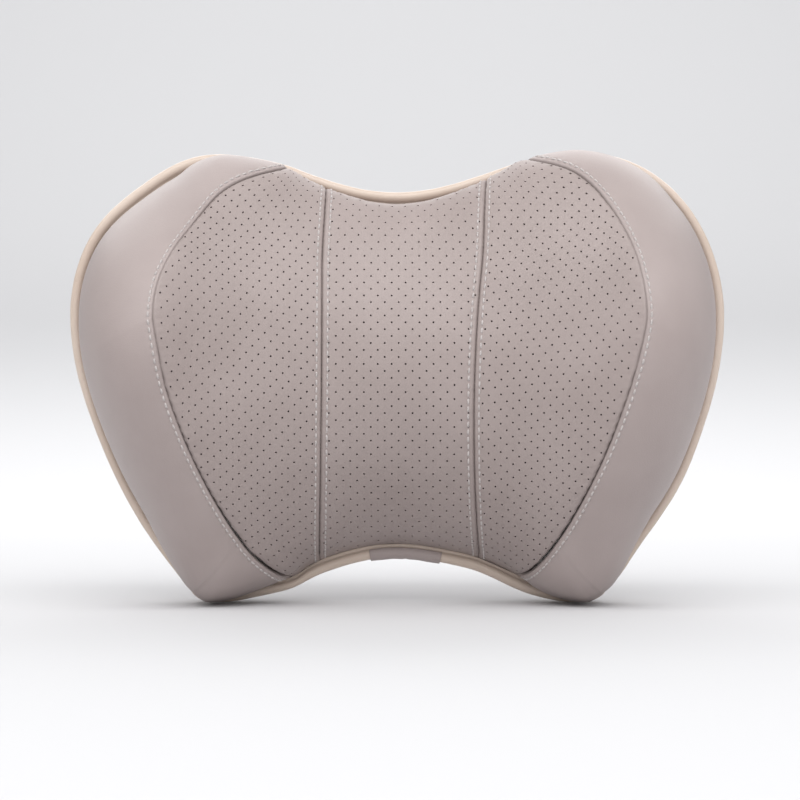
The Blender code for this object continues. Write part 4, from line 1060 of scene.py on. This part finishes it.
at = np.linspace(WRAP_START, WRAP_END, 70)
wrap_path = at_length(path, at % run[-1], run)
wrap_out = at_length(across, at % run[-1], run)
wrap_up = np.tile([0.0, 0.0, 1.0], (len(at), 1))
turn = np.linspace(2.42, -2.42, 30)
ring = np.stack([np.cos(turn), np.sin(turn)], -1)
shell = np.concatenate([ring * 3.15, (ring * 2.55)[::-1]])
share = (at - WRAP_START) / (WRAP_END - WRAP_START)
swell = 1 + 0.05 * np.sin(share * np.pi * 3) ** 2 - 0.1 * np.exp(-((at - 4.2) / 1.2) ** 2)
points, faces = swept(wrap_path, wrap_out * swell[:, None], wrap_up * swell[:, None], shell)
made = piece("piping_wrap", points, faces, TAUPE, ("piping_joint_tab",), "taupe_leather")
bevel = made.modifiers.new("soft_edges", "BEVEL")
bevel.width, bevel.segments, bevel.limit_method, bevel.angle_limit = 0.0003, 2, "ANGLE", 0.9

# %% [markdown]
# ## Back of the cover
# The back is flat, with rounded edges, and a zip runs across it between two panels. Each panel is spanned
# between four border curves, so its grid follows both the straight zip and the curved rim.

# %% Back panels
ZIP_Z, ZIP_CHAIN, ZIP_SLOT, TAPE_WIDTH = 62.0, 188.0, 10.0, 12.0
SLOT_END, SLOT_CLOSE = ZIP_CHAIN / 2 + 3.5, 4.0
BACK_LEATHER, FIT, CHAIN_SPLIT = 1.4, 0.3, 1.0


def back_height(x, z):
    """Flat, with a quarter ellipse along the rim, as wide as leaves the zip's tapes on the flat."""
    rim = np.concatenate([RIM, RIM * (-1, 1)])[::2]
    tape = np.array([ZIP_CHAIN / 2 + 4.5, ZIP_Z - CHAIN_SPLIT / 2 - TAPE_WIDTH])
    room = np.linalg.norm(RIM - tape, axis=1).min()
    edge = min(BACK_EDGE, max(room - SLOT_CLOSE, room / 2))
    away = nearest_to(np.stack([x, z], -1).reshape(-1, 2), rim)[1]
    share = np.clip(away / edge, 0, 1)
    return (BACK_DEPTH * np.sqrt(1 - (1 - share) ** 2)).reshape(np.shape(x))


def coons(bottom, top, left, right):
    """Grid spanned between four border curves: two ruled surfaces added, less the corners' bilinear one."""
    v = (lengths(left) / lengths(left)[-1])[:, None, None]
    u = (lengths(bottom) / lengths(bottom)[-1])[None, :, None]
    ruled = (1 - v) * bottom[None] + v * top[None] + (1 - u) * left[:, None] + u * right[:, None]
    corners = (1 - v) * ((1 - u) * bottom[0] + u * bottom[-1]) + v * ((1 - u) * top[0] + u * top[-1])
    return ruled - corners


def slot_half(x):
    open_share = 1 - smooth_step((np.abs(x) - SLOT_END) / SLOT_CLOSE)
    return 0.15 + (ZIP_SLOT / 2 - 0.15) * open_share


def back_panel(sign, rows, columns=121):
    """Upper (sign 1) or lower (sign -1) panel of the back, and the numbers of its points on the rim."""
    foot_run, lobe_run = RIM_RUN[FOOT_AT], RIM_RUN[TOP_AT]
    zip_run = np.interp(ZIP_Z, RIM[FOOT_AT:WIDE_AT, 1], RIM_RUN[FOOT_AT:WIDE_AT]) + sign * 0.2
    end = at_length(RIM, zip_run)
    t = np.linspace(-1, 1, columns)
    x = end[0] * (0.75 * t + 0.25 * np.sin(np.pi / 2 * t))
    zip_side = np.stack([x, ZIP_Z + sign * slot_half(x)], -1)
    rise = 1 - (1 - np.linspace(0, 1, rows)) ** 1.5
    goal = lobe_run if sign > 0 else foot_run
    right = at_length(RIM, zip_run + (goal - zip_run) * rise)
    zip_side[0], zip_side[-1] = right[0] * (-1, 1), right[0]
    half_count = columns // 2 + 1
    share = 1 - np.cos(np.pi / 2 * np.linspace(0, 1, half_count))
    last = RIM_RUN[-1] if sign > 0 else 0.0
    half = at_length(RIM, goal + (last - goal) * share)
    far_side = np.concatenate([half * (-1, 1), half[-2::-1]])
    grid = coons(zip_side, far_side, right * (-1, 1), right)
    depth = np.maximum(back_height(grid[..., 0], grid[..., 1]), RIM_H)
    edge = border(*depth.shape)
    edge = np.append(edge[columns - 1 :], edge[0])
    depth.reshape(-1)[edge] = RIM_H
    from_zip = np.abs(grid[..., 1] - ZIP_Z) - slot_half(grid[..., 0])
    flat = smooth_step((depth - 6) / 16)
    roll = -0.9 * np.exp(-((from_zip / 0.9) ** 2)) * flat
    waves = 0.35 * ripple(grid[..., 0] * 0.8, grid[..., 1], 3.1) * flat
    waves *= smooth_step((np.abs(grid[..., 1] - 118) - 18) / 10)
    waves *= smooth_step((from_zip - 4) / 10)
    return np.concatenate([grid, -(depth + roll + waves)[..., None]], -1), edge


def rim_outward(place):
    """Outward direction of the rim, level with the piping, at points (x, z) on it."""
    away = -inward(RIM)
    rim, away = np.concatenate([RIM, RIM * (-1, 1)]), np.concatenate([away, away * (-1, 1)])
    return level(away[nearest_to(place, rim)[0]])


for sign, name, rows in ((1, "upper", 84), (-1, "lower", 60)):
    grid, edge = back_panel(sign, rows)
    normal = grid_normals(grid) * -sign
    normal.reshape(-1, 3)[edge] = rim_outward(grid.reshape(-1, 3)[edge, :2])
    under = grid - normal * 1.2
    node = "back_" + name + "_panel"
    made = piece("back_" + name, *closed_sheet(grid, under), TAUPE, (node,), "taupe_leather")
    x = np.linspace(-SLOT_END - 2, SLOT_END + 2, 400)
    z = ZIP_Z + sign * (ZIP_SLOT / 2 + 2.2)
    path = np.stack([x, np.full(400, z), np.full(400, -BACK_DEPTH - 0.02)], -1)
    stitch_row("stitches_zip_" + name, path, np.tile([0, 0, -1.0], (400, 1)), margin=1.0)
print("back panels done")

# %% [markdown]
# ## Zip
# The coil is a nylon spring sewn to each tape. Each turn is an oval ring of a thin tube, leaning a little
# along the tape, and the two rows are set half a turn apart so that they mesh.

# %% Tapes and coils
FACE = -BACK_DEPTH + BACK_LEATHER + FIT
COIL_PITCH, COIL_STEPS, TUBE_SIDES, TUBE_RADIUS = 1.3, 12, 6, 0.24
TAPE_REACH = ZIP_CHAIN / 2 + 4.5


def zip_tape(sign):
    """Strip with fine ribs across it."""
    x = np.linspace(-TAPE_REACH, TAPE_REACH, 760)
    z = np.linspace(CHAIN_SPLIT / 2, CHAIN_SPLIT / 2 + TAPE_WIDTH, 16)
    a, b = np.meshgrid(x, z)
    rib = 0.05 * np.cos(2 * np.pi * a / 1.04)
    outer = np.stack([a, ZIP_Z + sign * b, FACE + 0.05 - rib], -1)
    inner = np.stack([a, ZIP_Z + sign * b, np.full_like(a, FACE + 0.6)], -1)
    return closed_sheet(outer, inner)


def zip_coil(sign):
    """Ovals in the (z, h) plane, 1.9 by 1.1 mm, tube 0.24 mm, sheared along x by the spring's lead."""
    half = ZIP_CHAIN / 2 - 0.6
    centre = np.arange(-half, half, COIL_PITCH) + (COIL_PITCH / 2 if sign > 0 else 0)
    centre = centre[centre < half]
    turn = np.linspace(0, 2 * np.pi, COIL_STEPS, endpoint=False)
    middle_z, middle_h = 0.25 + 0.95, FACE - FIT - 0.62
    place = np.stack([
        centre[:, None] + 0.22 * np.sin(turn)[None],
        np.broadcast_to(ZIP_Z + sign * (middle_z - 0.72 * np.cos(turn)), (len(centre), COIL_STEPS)),
        np.broadcast_to(middle_h + 0.34 * np.sin(turn), (len(centre), COIL_STEPS)),
    ], -1)
    out = np.stack([np.zeros(COIL_STEPS), -sign * np.cos(turn), np.sin(turn)], -1)
    side = np.array([1.0, 0.0, 0.0])
    tube = np.linspace(0, 2 * np.pi, TUBE_SIDES, endpoint=False)
    ring = place[:, :, None] + TUBE_RADIUS * (
        np.cos(tube)[:, None] * out[None, :, None] + np.sin(tube)[:, None] * side
    )
    index = np.arange(ring.size // 3).reshape(len(centre), COIL_STEPS, TUBE_SIDES)
    return ring.reshape(-1, 3), ring_faces(index, np.roll(index, -1, 1))


for sign, name in ((1, "upper"), (-1, "lower")):
    piece("tape_" + name, *zip_tape(sign), TAPE, ("zip_tape_" + name,), "zip_tape")
    made = piece("coil_" + name, *zip_coil(sign), COIL, ("zip_coil_" + name,), "zip_coil")
print("coil", len(made.data.polygons) // (COIL_STEPS * TUBE_SIDES), "turns each side")

# %% [markdown]
# ## Strap
# Ribbed elastic, 25 mm wide, is sewn under a leather patch at one side, runs through the adjuster, round
# a plastic ring and back to the adjuster's middle bar. The ring hangs in a short loop of the same elastic
# under the other patch. A strap is a ribbed profile carried along its path.

# %% Strap layout in millimetres
STRAP_WIDTH, STRAP_THICK, STANDOFF = 25.0, 1.2, 20.0
ANCHOR_X, ANCHOR_SIZE, ANCHOR_WALL = 97.0, (24.0, 34.0), 1.3
RING_X, RING_BAR, ADJUSTER_X = 60.0, 1.5, -8.0
BACK_FACE = -BACK_DEPTH - FIT
FLAT = BACK_FACE - STRAP_THICK / 2
OUTER = -BACK_DEPTH - STANDOFF
WRAP = RING_BAR + FIT + STRAP_THICK / 2
RING_H = OUTER + WRAP
PATCH_X, PATCH_Z = ANCHOR_SIZE[0] / 2, ANCHOR_SIZE[1] / 2
TAB_X, TAB_H = ANCHOR_X - PATCH_X - 9.0, BACK_FACE - STRAP_THICK - FIT - RING_BAR


def eased(start, stop, count=30):
    """S-shaped run between two (x, h) points, level at both ends."""
    s = np.linspace(0, 1, count)
    return np.stack([start[0] + (stop[0] - start[0]) * s,
                     start[1] + (stop[1] - start[1]) * smooth_step(s)], -1)


def half_turn(centre, radius, start, count=24):
    turn = start + np.linspace(0, np.pi, count)
    return np.asarray(centre) + radius * np.stack([np.cos(turn), np.sin(turn)], -1)


def smoothed(path, spacing=0.7, rounds=10):
    """Path resampled evenly and averaged with its neighbours, so that its corners become bends."""
    run = lengths(path)
    path = at_length(path, np.linspace(0, run[-1], int(run[-1] / spacing)))
    for _ in range(rounds):
        path[1:-1] = 0.5 * path[1:-1] + 0.25 * (path[:-2] + path[2:])
    return path


def webbing(path):
    """Ribbed strip: lengthwise ribs as a cosine across the width, closed by two rounded edges."""
    path = smoothed(np.asarray(path, float))
    z = np.linspace(-1, 1, 47)
    edge = np.sqrt(np.clip(1 - np.abs(z) ** 14, 0, 1))
    thick = (STRAP_THICK / 2 - 0.07) * edge + 0.07 * np.cos(2 * np.pi * z * 8.5) * edge
    flat = z * STRAP_WIDTH / 2
    profile = np.concatenate([np.stack([flat, thick], -1), np.stack([flat, -thick], -1)[-2:0:-1]])
    run = lengths(path)
    along = unit(np.gradient(path, axis=0))
    line = np.stack([path[:, 0], np.full(len(path), STRAP_Z), path[:, 1]], -1)
    across = np.tile([0.0, 1.0, 0.0], (len(path), 1))
    up = np.stack([-along[:, 1], np.zeros(len(path)), along[:, 0]], -1)
    up *= (1 + 0.09 * np.cos(2 * np.pi * run / 2.1))[:, None]
    return swept(line, across, up, profile)


# %% Webbing pieces
leave = -ANCHOR_X + PATCH_X + 1.0
strap_path = np.concatenate([
    [[-ANCHOR_X - PATCH_X + ANCHOR_WALL + FIT, FLAT], [-ANCHOR_X, FLAT]],
    eased((leave, FLAT), (leave + 34.0, OUTER)), [[ADJUSTER_X, OUTER]],
    half_turn((RING_X, RING_H), WRAP, -np.pi / 2),
])
piece("strap_outer", *webbing(strap_path), WEBBING, ("strap_webbing",), "elastic_webbing")
BAR = 0.8
LOOP = 1.5 * BAR + FIT + STRAP_THICK / 2
BAR_H = OUTER + STRAP_THICK + FIT + LOOP
return_path = np.concatenate([
    [[RING_X - FIT, RING_H + WRAP]], eased((RING_X - 12, RING_H + WRAP), (ADJUSTER_X + 20, BAR_H + LOOP)),
    half_turn((ADJUSTER_X, BAR_H), LOOP, np.pi / 2), [[ADJUSTER_X + 6.0, BAR_H - LOOP]],
])
made = piece("strap_inner", *webbing(return_path), WEBBING, ("strap_return",), "elastic_webbing", body=None)
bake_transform(made)
tab_end = ANCHOR_X + PATCH_X - ANCHOR_WALL - FIT
tab_path = np.concatenate([
    [[tab_end, FLAT], [TAB_X + 8.0, FLAT]], half_turn((TAB_X, TAB_H), WRAP, np.pi / 2),
    [[TAB_X + 3.5, TAB_H - WRAP], [TAB_X + 8.5, FLAT - STRAP_THICK - FIT],
     [tab_end, FLAT - STRAP_THICK - FIT]],
])
piece("ring_loop", *webbing(tab_path), WEBBING, ("ring_tab",), "elastic_webbing")
print("strap", round(lengths(smoothed(strap_path))[-1] + lengths(smoothed(return_path))[-1], 1), "mm")


# %% Ring and patches
def rounded(corners, radius, steps=12):
    """Closed path through corners, each cut by a parabola."""
    corners = np.asarray(corners, float)
    s = np.linspace(0, 1, steps)[:, None]
    path = []
    for before, here, after in zip(np.roll(corners, 1, 0), corners, np.roll(corners, -1, 0)):
        back, on = unit(before - here), unit(after - here)
        path.append(here + radius * (back * (1 - s) ** 2 + on * s**2))
    return np.concatenate(path)


reach = STRAP_WIDTH / 2 + RING_BAR + 0.8
corners = [(RING_X, STRAP_Z - reach, RING_H), (RING_X, STRAP_Z + reach, RING_H),
           (TAB_X, STRAP_Z + reach, TAB_H), (TAB_X, STRAP_Z - reach, TAB_H)]
ring = rounded(corners, 2.4)
plane = unit(np.cross(ring[20] - ring[0], ring[30] - ring[0]))
along = unit(np.roll(ring, -1, 0) - np.roll(ring, 1, 0))
beside = np.cross(along, plane)
points, faces = swept(ring, beside, np.tile(plane, (len(ring), 1)), round_profile(RING_BAR, 20), True)
piece("strap_ring_moulded", points, faces, PLASTIC, ("strap_ring",), "strap_plastic")


def shoulder(z):
    """Share of a patch's height: full over the strap, and a third lower past its edges."""
    return 1 - 0.35 * smooth_step((np.abs(z) - (STRAP_WIDTH / 2 + 1)) / 2.5)


def patch(name, side, top):
    """Leather patch: height over the back rises as a quarter circle over the last 1.6 mm to its edge."""
    u = np.sin(np.linspace(-1, 1, 60) * np.pi / 2)
    a, b = np.meshgrid(u, u)
    x, z = a * PATCH_X, b * PATCH_Z
    edge = np.minimum(PATCH_X - np.abs(x), PATCH_Z - np.abs(z))
    rise = np.sqrt(1 - (1 - np.clip(edge / 1.6, 0, 1)) ** 2)
    groove = 0.25 * np.exp(-(((edge - 3.0) / 0.8) ** 2))
    outer = np.stack([side * (ANCHOR_X + x * side), STRAP_Z + z, -BACK_DEPTH - 0.05 - top * rise * shoulder(z)
                      + groove * rise], -1)
    inner = outer.copy()
    inner[..., 2] = -BACK_DEPTH - 0.04
    piece(name, *closed_sheet(outer, inner), TAUPE, (name.replace("patch", "anchor"),), "taupe_leather")
    rim = [(-9, -14), (9, -14), (9, 14), (-9, 14), (-9, -14), (9, 14), (9, -14), (-9, 14)]
    path = smoothed(np.array(rim, float), 0.5, 1)
    height = top * shoulder(path[:, 1])
    line = np.stack([side * ANCHOR_X + path[:, 0], STRAP_Z + path[:, 1], -BACK_DEPTH - height + 0.1], -1)
    down = np.tile([0, 0, -1.0], (len(line), 1))
    stitch_row(name + "_stitches", line, down, margin=1.5, pitch=3.1, size=0.9)


for side, name in ((-1, "left"), (1, "right")):
    high = np.diff(node_box("strap_anchor_" + name)[:, 1])[0] + FIT
    patch("strap_patch_" + name, side, high)

# %% [markdown]
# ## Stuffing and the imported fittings
# The foam block and its knitted liner lie inside, so they are only made smooth: each is a copy of its
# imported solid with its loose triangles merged, under one subdivision. The slider, puller, stops and
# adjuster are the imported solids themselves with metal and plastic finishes.


# %% Foam, liner and fittings
def smooth_copy(name, node, look):
    mesh = frame["nodes"][node].data.copy()
    mesh.name = name
    finish_mesh(mesh, look, merge=1e-6)
    made = linked(name, mesh)
    soft = made.modifiers.new("soft", "SUBSURF")
    soft.levels = soft.render_levels = 1
    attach(made, "cushion")
    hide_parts(node)


smooth_copy("foam_block", "foam_core", FOAM)
smooth_copy("foam_cover", "foam_liner", LINER)
for node, look in (
    ("zip_slider", STEEL), ("zip_puller", STEEL), ("zip_stop_left", STEEL), ("zip_stop_right", STEEL),
    ("strap_adjuster", PLASTIC),
):
    mesh = frame["nodes"][node].data
    mesh.materials.clear()
    mesh.materials.append(look)

# %% [markdown]
# ## Studio
# The cushion stands on a pale seamless sweep. A wide soft light hangs above and a little in front, weaker
# ones fill from the front and both sides, and two more wash the floor and the back of the sweep. The camera
# looks straight at the front from about a metre.

# %% Floor, lights and camera
profile = np.array([[-1.6, 0.0], [1.2, 0.0], [2.2, 0.25], [2.7, 0.9], [2.9, 2.0], [2.9, 4.0]])
profile = at_length(profile, np.linspace(0, lengths(profile)[-1], 260))
for _ in range(60):
    profile[1:-1] = 0.5 * profile[1:-1] + 0.25 * (profile[:-2] + profile[2:])
profile[:, 1] -= profile[0, 1]
sweep = np.stack([np.stack([np.full(len(profile), x), profile[:, 0], profile[:, 1]], -1)
                  for x in np.linspace(-4, 4, 3)], 1)
mesh = bpy.data.meshes.new("studio_sweep")
mesh.from_pydata(sweep.reshape(-1, 3), [], grid_faces(len(profile), 3).tolist())
mesh.shade_smooth()
paper = bpy.data.materials.new("studio_paper")
paper.use_nodes = True
finish = paper.node_tree.nodes["Principled BSDF"].inputs
finish["Base Color"].default_value = (0.62, 0.62, 0.632, 1)
finish["Roughness"].default_value = 0.9
mesh.materials.append(paper)
backdrop = linked("studio_sweep", mesh)


def soft_light(name, place, target, size, power):
    lamp = bpy.data.lights.new(name, "AREA")
    lamp.shape = "RECTANGLE"
    lamp.size, lamp.size_y = size
    lamp.energy = power
    made = linked(name, lamp)
    made.location = place
    made.rotation_euler = (Vector(target) - Vector(place)).to_track_quat("-Z", "Y").to_euler()


soft_light("overhead", (0.0, -1.0, 1.5), (0, 0.0, 0.1), (1.7, 1.1), 20.5)
soft_light("front_fill", (0.0, -2.2, 0.45), (0, 0, 0.1), (2.4, 0.9), 6)
soft_light("left_side", (-1.4, -0.6, 1.3), (0, 0, 0.1), (1.0, 1.2), 6)
soft_light("right_side", (1.4, -0.6, 1.3), (0, 0, 0.1), (1.0, 1.2), 5)
soft_light("floor_wash", (0.0, 1.0, 0.9), (0, 0.35, 0), (2.0, 0.7), 10)
soft_light("back_wash", (0.0, 1.3, 1.6), (0, 2.8, 0.6), (2.4, 1.2), 14)
world_look = bpy.data.worlds.new("studio_air")
world_look.use_nodes = True
air = world_look.node_tree.nodes["Background"].inputs
air["Color"].default_value, air["Strength"].default_value = (1, 1, 1, 1), 0.64
bpy.context.scene.world = world_look
bpy.context.scene.view_settings.view_transform = "Standard"

camera = bpy.data.cameras.new("front_camera")
camera.lens, camera.sensor_width = 105, 36
eye = linked("front_camera", camera)
eye.location = (0.0014, PIPE_Y * MM - 1.07, 0.0928 + LIFT * MM)
eye.rotation_euler = (np.pi / 2, 0, 0)
bpy.context.scene.camera = eye

# %% The end
bpy.context.view_layer.update()
